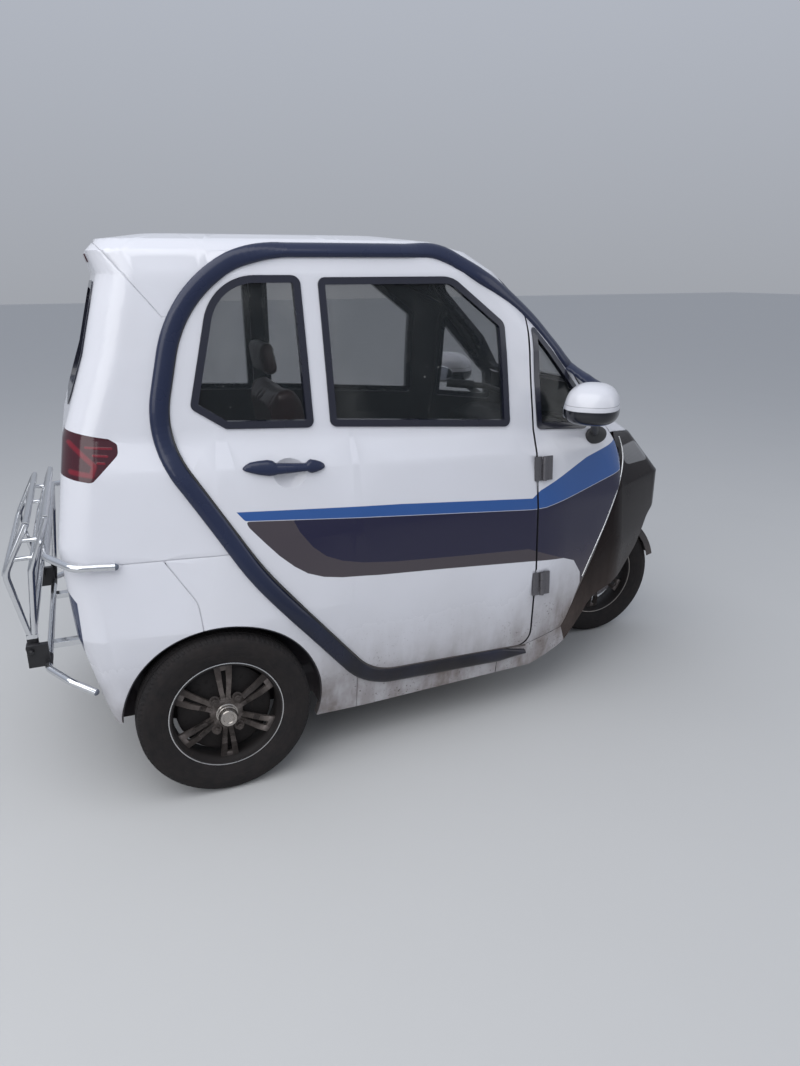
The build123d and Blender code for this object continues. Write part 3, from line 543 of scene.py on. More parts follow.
def recut(mesh, outwards):
    # a finer ball cuts the hand hollow once more
    x, y, z = handHollow["place"]
    place = Matrix.Translation((x + rearAxle, outwards * y, z))
    shape = bmesh.new()
    bmesh.ops.create_uvsphere(shape, u_segments=96, v_segments=64, radius=handHollow["radius"], matrix=place)
    ball = placed("dishBall", meshOf(shape, "dishBall"))
    panel = placed("dishPanel", mesh)
    cut = panel.modifiers.new("dish", "BOOLEAN")
    cut.operation, cut.solver, cut.object = "DIFFERENCE", "EXACT", ball
    made = bpy.data.meshes.new_from_object(panel.evaluated_get(bpy.context.evaluated_depsgraph_get()))
    for item in (ball, panel):
        bpy.data.objects.remove(item)
    return made


fuller = {"folding_rack": 0.0026, "rear_bumper": 0.0006}  # added to a tube's radius


def smoothCopy(node, material, outwards=None):
    # a merged copy of a node that shades smoothly, with the hand hollow cut where a side is given
    shape = bmesh.new()
    shape.from_mesh(frame["nodes"][node].data)
    bmesh.ops.remove_doubles(shape, verts=shape.verts, dist=0.00002)
    if node in fuller:
        shape.normal_update()
        for vert in shape.verts:
            vert.co += vert.normal * fuller[node]
    mesh = meshOf(shape, node + "Skin")
    if outwards:
        mesh = recut(mesh, outwards)
    piece = addPiece(node + "Skin", mesh, material, bodyOf[node], (node,), 24)
    weighted = piece.modifiers.new("weighted", "WEIGHTED_NORMAL")
    weighted.keep_sharp = True
    weighted.weight = 60


nodeFinish = {
    "roof_shell": whitePaint, "rear_shell": whitePaint, "rear_fenders": tailPaint, "tail_panel": tailPaint,
    "sills": sillPaint, "front_shell": stripedPaint, "hood": whitePaint, "nose_fascia": darkGloss,
    "rear_lamps": tailRed, "headlamps": lampClear, "hinge_leaves_body": hingeSteel,
    "window_seals": windowFrame, "fixed_glass": clearGlass, "wheel_liners": linerPlastic,
    "chassis_frame": frameSteel, "floor_pan": floorGrey, "rear_deck": floorGrey, "dashboard": blackPlastic,
    "rear_axle": castGrey, "leaf_springs": frameSteel, "battery_box": batteryCase,
    "rear_bumper": chrome, "fork": frameSteel, "handlebar": blackPlastic,
    "front_mudguard": blackPlastic, "folding_rack": chrome,
}
for side in sides:
    nodeFinish.update({
        f"door_shell_{side}": stripedPaint, f"door_window_frames_{side}": windowFrame,
        f"door_glass_{side}": clearGlass, f"door_hinge_leaves_{side}": hingeSteel,
    })
for node, material in nodeFinish.items():
    if node.startswith(("fixed_glass", "door_glass")):
        mesh = frame["nodes"][node].data
        mesh.materials.clear()
        mesh.materials.append(material)
    elif node.startswith("door_shell"):
        smoothCopy(node, material, sides[node.split("_")[-1]])
    else:
        smoothCopy(node, material)
print("panels dressed")


def spun(name, outline, centre, material, body, replaced=(), steps=96, closed=True):
    # an outline of (radius, offset along the axle) turned round it
    shape = bmesh.new()
    middle = Vector(centre)
    corners = [shape.verts.new(middle + Vector((radius, offset, 0))) for radius, offset in outline]
    edges = [shape.edges.new(pair) for pair in zip(corners, corners[1:])]
    if closed:
        edges.append(shape.edges.new((corners[-1], corners[0])))
    bmesh.ops.spin(
        shape, geom=corners + edges, cent=middle, axis=(0, 1, 0), dvec=(0, 0, 0), angle=2 * math.pi,
        steps=steps, use_merge=True, use_normal_flip=False, use_duplicate=False,
    )
    bmesh.ops.remove_doubles(shape, verts=shape.verts, dist=0.00001)
    bmesh.ops.recalc_face_normals(shape, faces=shape.faces)
    return addPiece(name, meshOf(shape, name), material, body, replaced)


def pushOut(shape, stations):
    # a bar pushed on from one ring of corners to the next
    ring = None
    for corners in stations:
        if ring is None:
            ring = shape.faces.new([shape.verts.new(corner) for corner in corners])
            continue
        pushed = bmesh.ops.extrude_face_region(shape, geom=[ring])["geom"]
        ring = next(item for item in pushed if isinstance(item, bmesh.types.BMFace))
        for vert, corner in zip(ring.verts, corners):
            vert.co = corner


# Tyres, with four grooves round the tread. Points are (radius, share of half the width).
tyreOutline = [
    (0.1652, 0.78), (0.1720, 0.84), (0.1830, 0.90), (0.1960, 0.965), (0.2080, 0.992), (0.2190, 0.985),
    (0.2290, 0.945), (0.2370, 0.890), (0.2430, 0.810), (0.2466, 0.690), (0.2476, 0.520), (0.2432, 0.505),
    (0.2432, 0.430), (0.2482, 0.415), (0.2494, 0.170), (0.2446, 0.155), (0.2446, 0.075), (0.2497, 0.060),
]


def tyrePiece(node, material, x, y, width):
    half = width / 2
    right = [(radius, -share * half) for radius, share in tyreOutline]
    left = [(radius, share * half) for radius, share in tyreOutline[::-1]]
    middle = (x, y, axleHeight)
    spun(node + "Tread", right + left, middle, material, bodyOf[node], (node,), 128)


for side, outwards in sides.items():
    material = tyreRubber(f"{side}Rubber", rearAxle, outwards * wheelSide)
    tyrePiece(f"rear_tyre_{side}", material, rearAxle, outwards * wheelSide, rearWidth)
tyrePiece("front_tyre", tyreRubber("frontRubber", frontAxle, 0.0), frontAxle, 0.0, frontWidth)

# Rims: a barrel, a hub and six pairs of spokes. A spoke's stations are (radius, aside, width, set back)
# and the web's are (radius, aside, set back).
rims = {
    "outer": 0.1646, "bed": 0.1565, "well": 0.149, "pairs": 6, "hub": 0.046, "bore": 0.014, "thick": 0.015,
    "spoke": [
        (0.038, 0.0078, 0.0150, 0.0), (0.054, 0.0080, 0.0146, 0.0), (0.070, 0.0104, 0.0144, 0.0),
        (0.090, 0.0122, 0.0150, 0.0), (0.108, 0.0140, 0.0165, 0.0), (0.1545, 0.0172, 0.0200, 0.010),
    ],
    "web": [(0.133, 0.0125, 0.0054), (0.1555, 0.0175, 0.0105)], "edge": 0.0014, "drum": 0.134,
    "share": 0.8, "inset": 0.012, "taper": 0.8,
}


def rimHalf(width):  # half of the rim's width, from the tyre's
    return width / 2 * rims["share"]


def rounded(shape, edges, offset):
    bmesh.ops.bevel(
        shape, geom=edges, offset=offset, offset_type="OFFSET", affect="EDGES", segments=2, profile=0.5,
        material=-1,
    )


def turned(outline, outwards):  # the outline facing the other way where outwards is -1
    return [(radius, offset * outwards) for radius, offset in outline]


def rimPiece(node, material, x, y, width, outwards, drum=True):
    half = rimHalf(width)
    depth = half - rims["inset"]
    face = y + outwards * depth
    name = node + "Cast"
    hubSize, thick, bore = rims["hub"], rims["thick"], rims["bore"]
    shape = bmesh.new()
    centre = Vector((x, 0, axleHeight))
    for pair in range(rims["pairs"]):
        turn = math.pi / 2 + pair * 2 * math.pi / rims["pairs"]
        along = Vector((math.cos(turn), 0, math.sin(turn)))
        sideways = Vector((-math.sin(turn), 0, math.cos(turn)))

        def corner(radius, aside, back):
            place = centre + along * radius + sideways * aside
            return Vector((place.x, face - outwards * back, place.z))

        for side in (-1, 1):
            stations = []
            for radius, aside, wide, back in rims["spoke"]:
                front, rear = wide / 2, wide / 2 * rims["taper"]
                section = ((-front, 0), (front, 0), (rear, thick), (-rear, thick))
                aside *= side
                stations.append([corner(radius, aside + across, back + deep) for across, deep in section])
            pushOut(shape, stations)
        # the web closes the slot between the two bars at the rim
        stations = []
        for radius, aside, back in rims["web"]:
            section = ((-aside, 0), (aside, 0), (aside, thick * 0.9), (-aside, thick * 0.9))
            stations.append([corner(radius, across, back + deep) for across, deep in section])
        pushOut(shape, stations)
    bmesh.ops.recalc_face_normals(shape, faces=shape.faces)
    sharp = [edge for edge in shape.edges if len(edge.link_faces) == 2 and edge.calc_face_angle() > 0.9]
    rounded(shape, sharp, rims["edge"])
    addPiece(name + "Spokes", meshOf(shape, name), material, bodyOf[node], (node,))
    outer, bed, well = rims["outer"], rims["bed"], rims["well"]
    barrel = [
        (outer, -half), (outer, half), (bed, half), (bed - 0.002, half - 0.006),
        (bed - 0.0035, half - 0.022), (well, half - 0.03), (well, -half + 0.018),
        (bed - 0.003, -half + 0.012), (bed, -half),
    ]
    middle, body, slot = (x, y, axleHeight), bodyOf[node], slotOf[node]
    # the barrel is drawn in painted shade
    spun(name + "Barrel", barrel, middle, barrelPaintedShade, body)
    plate = [
        (bore, depth - 0.03), (bore, depth + 0.001), (hubSize * 0.8, depth + 0.001),
        (hubSize * 0.86, depth + 0.0005), (hubSize, depth - 0.002), (hubSize * 1.04, depth - thick),
        (hubSize * 0.9, depth - 0.03),
    ]
    spun(name + "Hub", turned(plate, outwards), middle, material, body, steps=72)
    if drum:
        size = rims["drum"]
        bowl = [
            (bore, depth - 0.026), (size * 0.55, depth - 0.026), (size * 0.6, depth - 0.029),
            (size * 0.93, depth - 0.031), (size, depth - 0.036), (size, depth - 0.05),
            (size * 1.03, depth - 0.052), (size * 1.03, depth - 0.068), (bore, depth - 0.068),
        ]
        spun(name + "Drum", turned(bowl, outwards), middle, drumIron, body, steps=72)


for side, outwards in sides.items():
    rimPiece(f"rear_rim_{side}", alloyRear, rearAxle, outwards * wheelSide, rearWidth, outwards)
rimPiece("front_rim", alloyFront, frontAxle, 0.0, frontWidth, -1, False)

# Bright rim edges, hub caps and wheel nuts
hub = {
    "cap": 0.028, "proud": 0.036, "nutCircle": 0.057, "nut": 0.0105, "nutTall": 0.013, "washer": 0.0145,
    "nutAngles": (55, 125, 235, 305), "nutEdge": 0.0008,
}
rimEdge = {"radius": 0.1628, "wire": 0.0019, "inset": 0.001}


def rimRing(name, x, y, body, material):
    ring = [
        (rimEdge["radius"] + rimEdge["wire"] * math.cos(turn), rimEdge["wire"] * math.sin(turn))
        for turn in (index * math.pi / 4 for index in range(8))
    ]
    spun(name, ring, (x, y, axleHeight), material, body)


def hubCap(name, x, y, outwards, body):
    # stepped like a grease cap, with a shallow dish in its end
    cap, proud = hub["cap"], hub["proud"]
    steps = [
        (0.0, 0.0), (cap * 1.12, 0.0), (cap * 1.12, 0.005), (cap, 0.007), (cap, proud * 0.42),
        (cap * 0.92, proud * 0.46), (cap * 0.92, proud * 0.54), (cap * 0.98, proud * 0.58),
        (cap * 0.96, proud * 0.84), (cap * 0.82, proud), (cap * 0.56, proud * 0.97),
        (cap * 0.5, proud * 0.9), (0.0, proud * 0.9),
    ]
    outline, middle = turned(steps, outwards), (x, y, axleHeight)
    spun(name, outline, middle, capChrome, body, steps=48, closed=False)


def disc(shape, place, radius1, radius2, tall, corners):  # a disc that faces along the axle
    turn = Matrix.Translation(place) @ Matrix.Rotation(math.pi / 2, 4, "X")
    return bmesh.ops.create_cone(
        shape, cap_ends=True, cap_tris=False, segments=corners, radius1=radius1, radius2=radius2,
        depth=tall, matrix=turn,
    )


def wheelNuts(name, x, y, outwards, body):
    # on each a washer, a nut and the stud's end, as (radius, low, tall, corners)
    discs = (
        (hub["washer"], -0.0005, 0.003, 24), (hub["nut"], 0.002, hub["nutTall"], 6),
        (hub["nut"] * 0.5, 0.01, 0.009, 16),
    )
    circle = hub["nutCircle"]
    shape = bmesh.new()
    for angle in hub["nutAngles"]:
        turn = math.radians(angle)
        place = Vector((x + circle * math.cos(turn), y, axleHeight + circle * math.sin(turn)))
        for radius, low, tall, corners in discs:
            out = Vector((0, outwards * (low + tall / 2), 0))
            made = disc(shape, place + out, radius, radius, tall, corners)
            near = {edge for vert in made["verts"] for edge in vert.link_edges if len(edge.link_faces) == 2}
            rounded(shape, [edge for edge in near if edge.calc_face_angle() > 1.2], hub["nutEdge"])
    bmesh.ops.recalc_face_normals(shape, faces=shape.faces)
    addPiece(name, meshOf(shape, name), nutSteel, body)


for side, outwards in sides.items():
    body = f"rear_wheel_{side}"
    lip = wheelSide + rimHalf(rearWidth)
    face = outwards * (lip - rims["inset"])
    rimRing(f"rimRing_{side}", rearAxle, outwards * (lip - rimEdge["inset"]), body, brightTrim)
    hubCap(f"hubCap_{side}", rearAxle, face, outwards, body)
    wheelNuts(f"wheelNuts_{side}", rearAxle, face, outwards, body)
frontLip = rimHalf(frontWidth) - rimEdge["inset"]
rimRing("rimRing_front", frontAxle, -frontLip, "front_wheel", capChrome)
rimRing("rimRing_frontLeft", frontAxle, frontLip, "front_wheel", capChrome)

# Front brake disc with its carrier bolts
brake = {
    "bore": 0.011, "carrier": (0.05, 0.052), "carrierHalf": 0.004, "outer": 0.098, "half": 0.002,
    "offset": -0.024, "bolts": 6, "boltCircle": 0.038, "boltRadii": (0.0075, 0.007), "boltTall": 0.006,
    "boltProud": 0.0065,
}
plate = [
    (brake["bore"], -brake["carrierHalf"]), (brake["carrier"][0], -brake["carrierHalf"]),
    (brake["carrier"][1], -brake["half"]), (brake["outer"], -brake["half"]),
]
plate += [(radius, -offset) for radius, offset in plate[::-1]]
middle = (frontAxle, brake["offset"], axleHeight)
spun("brakeDisc", plate, middle, hingeSteel, "front_wheel", steps=72)
boltShape = bmesh.new()
for index in range(brake["bolts"]):
    turn = index * 2 * math.pi / brake["bolts"]
    across, up = brake["boltCircle"] * math.cos(turn), brake["boltCircle"] * math.sin(turn)
    place = Vector((frontAxle + across, brake["offset"] - brake["boltProud"], axleHeight + up))
    disc(boltShape, place, *brake["boltRadii"], brake["boltTall"], 6)
addPiece("brakeBolts", meshOf(boltShape, "brakeBolts"), chrome, "front_wheel")
print("wheels done")


def wire(name, points, radius, material, body):
    # a thin round bar along a line, made a mesh
    curve = bpy.data.curves.new(name, "CURVE")
    curve.dimensions = "3D"
    curve.bevel_depth = radius
    curve.bevel_resolution = 4
    curve.use_fill_caps = True
    spline = curve.splines.new("NURBS")
    spline.points.add(len(points) - 1)
    for point, place in zip(spline.points, points):
        point.co = (*place, 1.0)
    spline.use_endpoint_u = True
    spline.order_u = 4
    spline.resolution_u = 8
    line = bpy.data.objects.new(name, curve)
    mesh = bpy.data.meshes.new_from_object(line)
    bpy.data.objects.remove(line)
    return addPiece(name, mesh, material, body)


# Door strips: a rounded bar round each doorway. Corners are (forward, height, radius) from the rear axle,
# and the section is (share of half the width, outwards).
strip = {
    "corners": [
        (1.262, 1.085, 0), (1.040, 1.331, 0.6), (0.730, 1.494, 0.15), (0.028, 1.494, 0.33),
        (-0.085, 1.040, 0.26), (0.140, 0.668, 0.9), (0.462, 0.272, 0.17), (1.030, 0.240, 0),
    ],
    "middle": 0.0285, "half": 0.0245, "spacing": 0.016, "tip": 6,
    "section": [
        (-1.0, -0.020), (-1.0, -0.0095), (-0.93, -0.0070), (-0.62, -0.0036), (-0.25, -0.0010), (0.15, 0.0),
        (0.50, -0.0012), (0.78, -0.0042), (0.95, -0.0085), (1.0, -0.0130), (1.0, -0.020),
    ],
    "seal": 0.0030, "sealAside": 0.0034, "sealDeep": 0.011, "sealEnd": (1.04, 0.9), "slim": 0.25,
}
arcSteps = 24


def roundedPath(corners, spacing):
    # evenly spaced points along a bent line whose corners are rounded
    rough = []
    for index, (x, z, radius) in enumerate(corners):
        corner = Vector((x, z))
        if not radius:
            rough.append(corner)
            continue
        before = (Vector(corners[index - 1][:2]) - corner).normalized()
        after = (Vector(corners[index + 1][:2]) - corner).normalized()
        half = before.angle(after) / 2
        centre = corner + (before + after).normalized() * radius / math.sin(half)
        start = corner + before * radius / math.tan(half) - centre
        sweep = (corner + after * radius / math.tan(half) - centre).angle_signed(start)
        for step in range(arcSteps + 1):
            rough.append(centre + Matrix.Rotation(sweep * step / arcSteps, 2) @ start)
    total = sum((b - a).length for a, b in zip(rough, rough[1:]))
    count = int(total / spacing)
    even, walked, target = [rough[0]], 0.0, total / count
    for a, b in zip(rough, rough[1:]):
        length = (b - a).length
        while length and walked + length >= target - 1e-9:
            even.append(a.lerp(b, (target - walked) / length))
            target += total / count
        walked += length
    return even


def beside(path, distance):
    # the path moved outwards from the doorway
    moved = []
    for index, point in enumerate(path):
        along = (path[min(index + 1, len(path) - 1)] - path[max(index - 1, 0)]).normalized()
        moved.append(point + Vector((-along.y, along.x)) * -distance)
    return moved


def evened(values, reach):
    # each value becomes the mean of its neighbours
    made = []
    for index in range(len(values)):
        near = values[max(index - reach, 0):index + reach + 1]
        made.append(sum(near[1:], near[0].copy()) / len(near))
    return made


# The bar follows the outer face of its solid, met from the right side, and its heights are evened
doorLine = roundedPath(strip["corners"], strip["spacing"])
stripLine = beside(doorLine, strip["middle"])
solid = bmesh.new()
solid.from_mesh(frame["nodes"]["door_mouldings"].data)
stripTree = BVHTree.FromBMesh(solid)
solid.free()
places, normals = [], []
for point in stripLine:
    hit, normal = stripTree.ray_cast(Vector((point.x + rearAxle, -0.9, point.y)), Vector((0, 1, 0)))[:2]
    if hit is None or hit.y > -0.3 or normal.y > -0.5:  # a miss, the far side or an edge
        hit, normal = (places[-1], normals[-1]) if places else (Vector((0, -0.42, 0)), Vector((0, -1, 0)))
    places.append(Vector((point.x + rearAxle, hit.y, point.y)))
    normals.append(normal.copy())
depths = evened([Vector((0, place.y, 0)) for place in places], 2)
normals = [normal.normalized() for normal in evened(normals, 4)]
for place, depth in zip(places, depths):
    place.y = depth.y
for side, outwards in sides.items():
    flip = Vector((1, -outwards, 1))
    stations = []
    for index, (place, normal) in enumerate(zip(places, normals)):
        along = (places[min(index + 1, len(places) - 1)] - places[max(index - 1, 0)]).normalized()
        across = along.cross(normal).normalized()
        slim = strip["slim"]
        half = strip["half"] * min(1.0, slim + (1 - slim) * (len(places) - 1 - index) / strip["tip"])
        section = strip["section"]
        stations.append([(place + across * (half * aside) + normal * out) * flip for aside, out in section])
    shape = bmesh.new()
    pushOut(shape, stations)
    bmesh.ops.recalc_face_normals(shape, faces=shape.faces)
    mesh = meshOf(shape, "doorStrip")
    addPiece(f"doorStrip_{side}", mesh, moulding, "body", ("door_mouldings",), 50)
    endX, endZ = strip["sealEnd"]
    points = [
        (line.x + rearAxle, -outwards * (place.y + strip["sealDeep"]), line.y)
        for line, place in zip(beside(doorLine, strip["sealAside"]), places) if line.x < endX or line.y < endZ
    ]
    wire(f"doorSeal_{side}", points, strip["seal"], blackPlastic, "body")
print("door strips done")

# Bright pinstripe along the edge of the dark nose, through (forward, aside, height)
pinstripe = {
    "wire": 0.0026, "proud": 0.0008,
    "line": [
        (1.4921, 0.2632, 0.8899), (1.4963, 0.2725, 0.8695), (1.5, 0.279, 0.8482), (1.4967, 0.2962, 0.8084),
        (1.4556, 0.3411, 0.7493), (1.4178, 0.3664, 0.6864), (1.3698, 0.3894, 0.6102),
        (1.3252, 0.4087, 0.548), (1.2923, 0.4196, 0.4968), (1.2649, 0.4253, 0.443),
    ],
}
for side, outwards in sides.items():
    points = [(x + rearAxle, outwards * (y + pinstripe["proud"]), z) for x, y, z in pinstripe["line"]]
    wire(f"pinstripe_{side}", points, pinstripe["wire"], brightTrim, "body")

# Bumper end caps, at (forward, aside, height)
tubeEnds = {"upper": (-0.250, 0.493, 0.722), "lower": (-0.340, 0.478, 0.362), "radius": 0.0098}
for name in ("upper", "lower"):
    for side, outwards in sides.items():
        x, y, z = tubeEnds[name]
        place = Matrix.Translation((x + rearAxle, outwards * y, z))
        shape = bmesh.new()
        bmesh.ops.create_icosphere(shape, subdivisions=3, radius=tubeEnds["radius"], matrix=place)
        addPiece(f"{name}Cap_{side}", meshOf(shape, "tubeCap"), capGrey, "body")

# Mirrors: a domed white cap over a dark bowl, on a dark stem and an oval foot
mirrors = {
    "centre": (1.18, 0.530, 1.046), "half": (0.082, 0.104), "dome": 0.083, "bowl": 0.044,
    "fullness": 2.6, "turn": 42, "glass": (-0.0785, 0.0, 0.002), "glassSize": (0.005, 0.062, 0.03),
    "foot": (1.316, 0.372, 0.928), "footSize": (0.042, 0.016, 0.03), "footDepth": 0.01, "stem": 0.0125,
    "elbow": (1.21, 0.49, 1.02), "bend": [(0.05, -0.045, -0.045), (0.0, 0.0, 0.0), (-0.02, 0.02, 0.02)],
}


def mirrorHead():
    # a ball pressed into a rounded box, taller above its parting line than below
    shape = bmesh.new()
    bmesh.ops.create_uvsphere(shape, u_segments=64, v_segments=40, radius=1.0)
    power = mirrors["fullness"]
    for vert in shape.verts:
        co = vert.co
        co /= sum(abs(part) ** power for part in co) ** (1 / power)
        co.x *= mirrors["half"][0]
        co.y *= mirrors["half"][1]
        co.z *= mirrors["dome"] if co.z > 0 else mirrors["bowl"]
    return shape


def pressedBall(around, up, size, place):
    # a ball pressed to a size
    shape = bmesh.new()
    bmesh.ops.create_uvsphere(shape, u_segments=around, v_segments=up, radius=1.0)
    bmesh.ops.scale(shape, vec=size, verts=shape.verts)
    bmesh.ops.translate(shape, vec=place, verts=shape.verts)
    return shape


for name, outwards in sides.items():
    turn = Matrix.Rotation(math.radians(outwards * mirrors["turn"]), 4, "Z")
    x, y, z = mirrors["centre"]
    place = Matrix.Translation((x + rearAxle, outwards * y, z)) @ turn
    head = mirrorHead()
    bmesh.ops.transform(head, matrix=place, verts=head.verts)
    addPiece(
        f"mirrorHead_{name}", meshOf(head, "mirrorHead"), mirrorPaint, "body", ("mirrors",),
    )
    glass = pressedBall(48, 12, mirrors["glassSize"], mirrors["glass"])
    bmesh.ops.transform(glass, matrix=place, verts=glass.verts)
    addPiece(f"mirrorGlass_{name}", meshOf(glass, "mirrorGlass"), mirrorGlass, "body")
    x, y, z = mirrors["foot"]
    foot = pressedBall(32, 16, mirrors["footSize"], (x + rearAxle, outwards * y, z))
    addPiece(f"mirrorFoot_{name}", meshOf(foot, "mirrorFoot"), blackPlastic, "body")
    points = [(x + rearAxle, outwards * (y - mirrors["footDepth"]), z)]
    x, y, z = mirrors["elbow"]
    points += [
        (x + rearAxle + ahead, outwards * (y + aside), z + up) for ahead, aside, up in mirrors["bend"]
    ]
    wire(f"mirrorStem_{name}", points, mirrors["stem"], blackPlastic, "body")

# Door handles: a spindle with a slimmer grip across its middle
# Stations are (forward, height, half height, proud)
handle = {
    "stations": [
        (0.105, 0.9450, 0.0022, 0.003), (0.114, 0.9462, 0.0085, 0.007), (0.127, 0.9470, 0.0140, 0.010),
        (0.148, 0.9450, 0.0185, 0.013), (0.176, 0.9425, 0.0218, 0.015), (0.189, 0.9412, 0.0200, 0.0155),
        (0.199, 0.9385, 0.0152, 0.016), (0.242, 0.9370, 0.0130, 0.018), (0.283, 0.9360, 0.0112, 0.016),
        (0.290, 0.9368, 0.0165, 0.015), (0.297, 0.9370, 0.0190, 0.014), (0.312, 0.9365, 0.0160, 0.012),
        (0.325, 0.9360, 0.0115, 0.009), (0.333, 0.9352, 0.0068, 0.006), (0.337, 0.9347, 0.0020, 0.003),
    ],
    "skin": 0.4665, "lean": 0.30, "leanFrom": 0.94, "root": 0.006, "corners": 20, "fullness": 2.4,
}
for side, outwards in sides.items():
    stations = []
    for x, z, tall, proud in handle["stations"]:
        corners = []
        for index in range(handle["corners"]):
            turn = index * 2 * math.pi / handle["corners"]
            cosine, sine = math.cos(turn), math.sin(turn)
            out = math.copysign(abs(cosine) ** (2 / handle["fullness"]), cosine)
            out *= proud if cosine > 0 else handle["root"]
            up = math.copysign(abs(sine) ** (2 / handle["fullness"]), sine) * tall
            aside = handle["skin"] - (z + up - handle["leanFrom"]) * handle["lean"] + out
            corners.append(Vector((x + rearAxle, outwards * aside, z + up)))
        stations.append(corners)
    shape = bmesh.new()
    pushOut(shape, stations)
    bmesh.ops.recalc_face_normals(shape, faces=shape.faces)
    replaced = (f"door_handle_{side}",)
    grip = addPiece(
        f"handleGrip_{side}", meshOf(shape, "handleGrip"), moulding, f"door_{side}", replaced,
    )
    smoother = grip.modifiers.new("rounded", "SUBSURF")
    smoother.levels = smoother.render_levels = 1
print("trim done")


# Seats. Each pad swells from a slightly smaller copy of its solid, as far as its cap.
seats = {
    "driver_cushion": {"shrink": 0.018, "cap": 0.022, "fill": 0.7},
    "driver_backrest": {"shrink": 0.016, "cap": 0.020, "fill": 0.7},
    "bench_cushion": {"shrink": 0.018, "cap": 0.022, "fill": 0.6},
    "bench_backrest": {"shrink": 0.016, "cap": 0.020, "fill": 0.6},
}
voxel = 0.006
swell = {"pressure": 4.0, "quality": 4, "steps": 20}


def seatPad(node, pad):
    shape = bmesh.new()
    shape.from_mesh(frame["nodes"][node].data)
    bmesh.ops.remove_doubles(shape, verts=shape.verts, dist=0.00002)
    low, high = (Vector(corner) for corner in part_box(node))
    piece = addPiece(
        node + "Pad", meshOf(shape, node + "Pad"), seatLeather, bodyOf[node], (node,), 60,
    )
    # each loose solid shrinks about its own middle
    shape = bmesh.new()
    shape.from_mesh(piece.data)
    left = set(shape.verts)
    while left:
        island, edge = set(), [left.pop()]
        while edge:
            vert = edge.pop()
            island.add(vert)
            near = {link.other_vert(vert) for link in vert.link_edges} & left
            left -= near
            edge += near
        corners = [vert.co for vert in island]
        middle = Vector([sum(co[axis] for co in corners) / len(corners) for axis in range(3)])
        spans = [max(co[axis] for co in corners) - min(co[axis] for co in corners) for axis in range(3)]
        keep = [1 - 2 * pad["shrink"] / span for span in spans]
        for vert in island:
            vert.co = middle + Vector([(vert.co[axis] - middle[axis]) * keep[axis] for axis in range(3)])
    shape.to_mesh(piece.data)
    shape.free()
    remesh = piece.modifiers.new("remesh", "REMESH")
    remesh.mode, remesh.voxel_size = "VOXEL", voxel
    graph = bpy.context.evaluated_depsgraph_get()
    mesh = bpy.data.meshes.new_from_object(piece.evaluated_get(graph))
    piece.modifiers.clear()
    piece.data = mesh
    start = [vert.co.copy() for vert in mesh.vertices]
    cloth = piece.modifiers.new("swell", "CLOTH")
    cloth.settings.use_pressure = True
    cloth.settings.uniform_pressure_force = swell["pressure"]
    cloth.settings.effector_weights.gravity = 0.0
    cloth.settings.quality = swell["quality"]
    for step in range(1, swell["steps"] + 1):
        bpy.context.scene.frame_set(step)
    graph = bpy.context.evaluated_depsgraph_get()
    swollen = piece.evaluated_get(graph).to_mesh()
    for vert, begin, grown in zip(mesh.vertices, start, swollen.vertices):
        move = grown.co - begin
        if move.length > pad["cap"]:
            move *= pad["cap"] / move.length
        place = begin + move
        vert.co = Vector([min(max(place[axis], low[axis]), high[axis]) for axis in range(3)])
    piece.modifiers.clear()
    bpy.context.scene.frame_set(1)
    for face in mesh.polygons:
        face.use_smooth = True
    mesh.update()
    smoother = piece.modifiers.new("rounded", "SUBSURF")
    smoother.levels = smoother.render_levels = 1


for node, pad in seats.items():
    seatPad(node, pad)
print("seats done")

# Studio
floorMesh = bmesh.new()
bmesh.ops.create_grid(floorMesh, x_segments=1, y_segments=1, size=40)
floorPiece = placed("studioFloor", meshOf(floorMesh, "studioFloor"))
floorTones = {"light": (0.50, 0.50, 0.495), "dark": (0.45, 0.45, 0.445)}
floorFinish = Finish("floorFinish", floorTones["light"], 0.85)
clouds = floorFinish.noise(2.5, 6.0) * 0.25
floorFinish.set(Base_Color=floorFinish.mix(clouds, floorTones["light"], floorTones["dark"]))
floorPiece.data.materials.append(floorFinish.material)

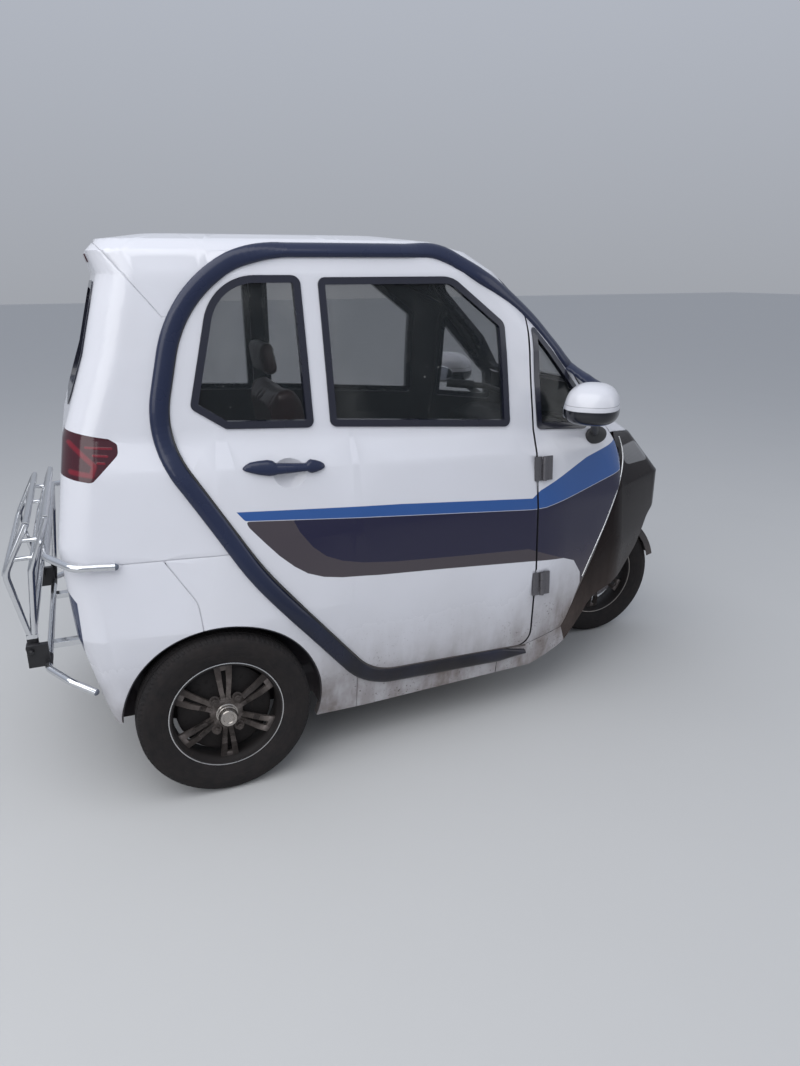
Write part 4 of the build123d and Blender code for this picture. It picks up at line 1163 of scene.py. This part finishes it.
# The sky brightens from the horizon up; stops are (share of the way up, colour)
sky = {"strength": 0.62, "stops": [(0.42, (0.52, 0.54, 0.58)), (0.85, (0.90, 0.97, 1.12))]}
world = bpy.data.worlds.new("studio")
bpy.context.scene.world = world
world.use_nodes = True
nodes, links = world.node_tree.nodes, world.node_tree.links
backdrop = nodes["Background"]
backdrop.inputs[1].default_value = sky["strength"]
ramp = nodes.new("ShaderNodeValToRGB")
for stop, (position, color) in zip(ramp.color_ramp.elements, sky["stops"]):
    stop.position = position
    stop.color = (*color, 1)
lookup = nodes.new("ShaderNodeTexCoord")
rise = nodes.new("ShaderNodeSeparateXYZ")
half = nodes.new("ShaderNodeMath")
half.operation = "MULTIPLY_ADD"
half.inputs[1].default_value = half.inputs[2].default_value = 0.5
links.new(lookup.outputs["Generated"], rise.inputs[0])
links.new(rise.outputs[2], half.inputs[0])
links.new(half.outputs[0], ramp.inputs[0])
links.new(ramp.outputs[0], backdrop.inputs[0])


def softLight(name, place, target, size, watts):
    light = bpy.data.lights.new(name, "AREA")
    light.shape = "RECTANGLE"
    light.size, light.size_y = size
    light.energy = watts
    lamp = placed(name, light)
    lamp.location = place
    lamp.rotation_euler = (Vector(target) - Vector(place)).to_track_quat("-Z", "Y").to_euler()


softLight("skyLight", (-2.2, -1.6, 5.0), (-0.2, 0, 0.5), (6, 5), 190)
softLight("sideLight", (-4.5, -4.0, 3.0), (-0.3, 0, 0.7), (4, 3), 80)
softLight("frontLight", (5.0, -2.5, 2.5), (0.3, 0, 0.7), (3, 3), 30)

# Camera, solved from the photograph
view = {
    "place": (-0.2585 + rearAxle, -2.5434, 1.4561), "yaw": 0.3776, "pitch": 0.3248, "roll": 0.0038,
    "focal": 779.1, "tall": 1066, "sensor": 36,  # focal length and picture height in pixels
}
camera = placed("photoCamera", bpy.data.cameras.new("photoCamera"))
yaw, pitch, roll = view["yaw"], view["pitch"], view["roll"]
flat = math.cos(pitch)
forward = Vector((math.sin(yaw) * flat, math.cos(yaw) * flat, -math.sin(pitch)))
level = forward.cross(Vector((0, 0, 1))).normalized()
down = forward.cross(level).normalized()
right = level * math.cos(roll) + down * math.sin(roll)
below = forward.cross(right)
turn = Matrix((right, -below, -forward)).transposed().to_4x4()
camera.matrix_world = Matrix.Translation(view["place"]) @ turn
camera.data.sensor_width = view["sensor"]
camera.data.lens = view["focal"] * view["sensor"] / view["tall"]
camera.data.clip_start = 0.05
bpy.context.scene.camera = camera
bpy.context.scene.view_settings.view_transform = "Standard"
print("camera and lights placed")
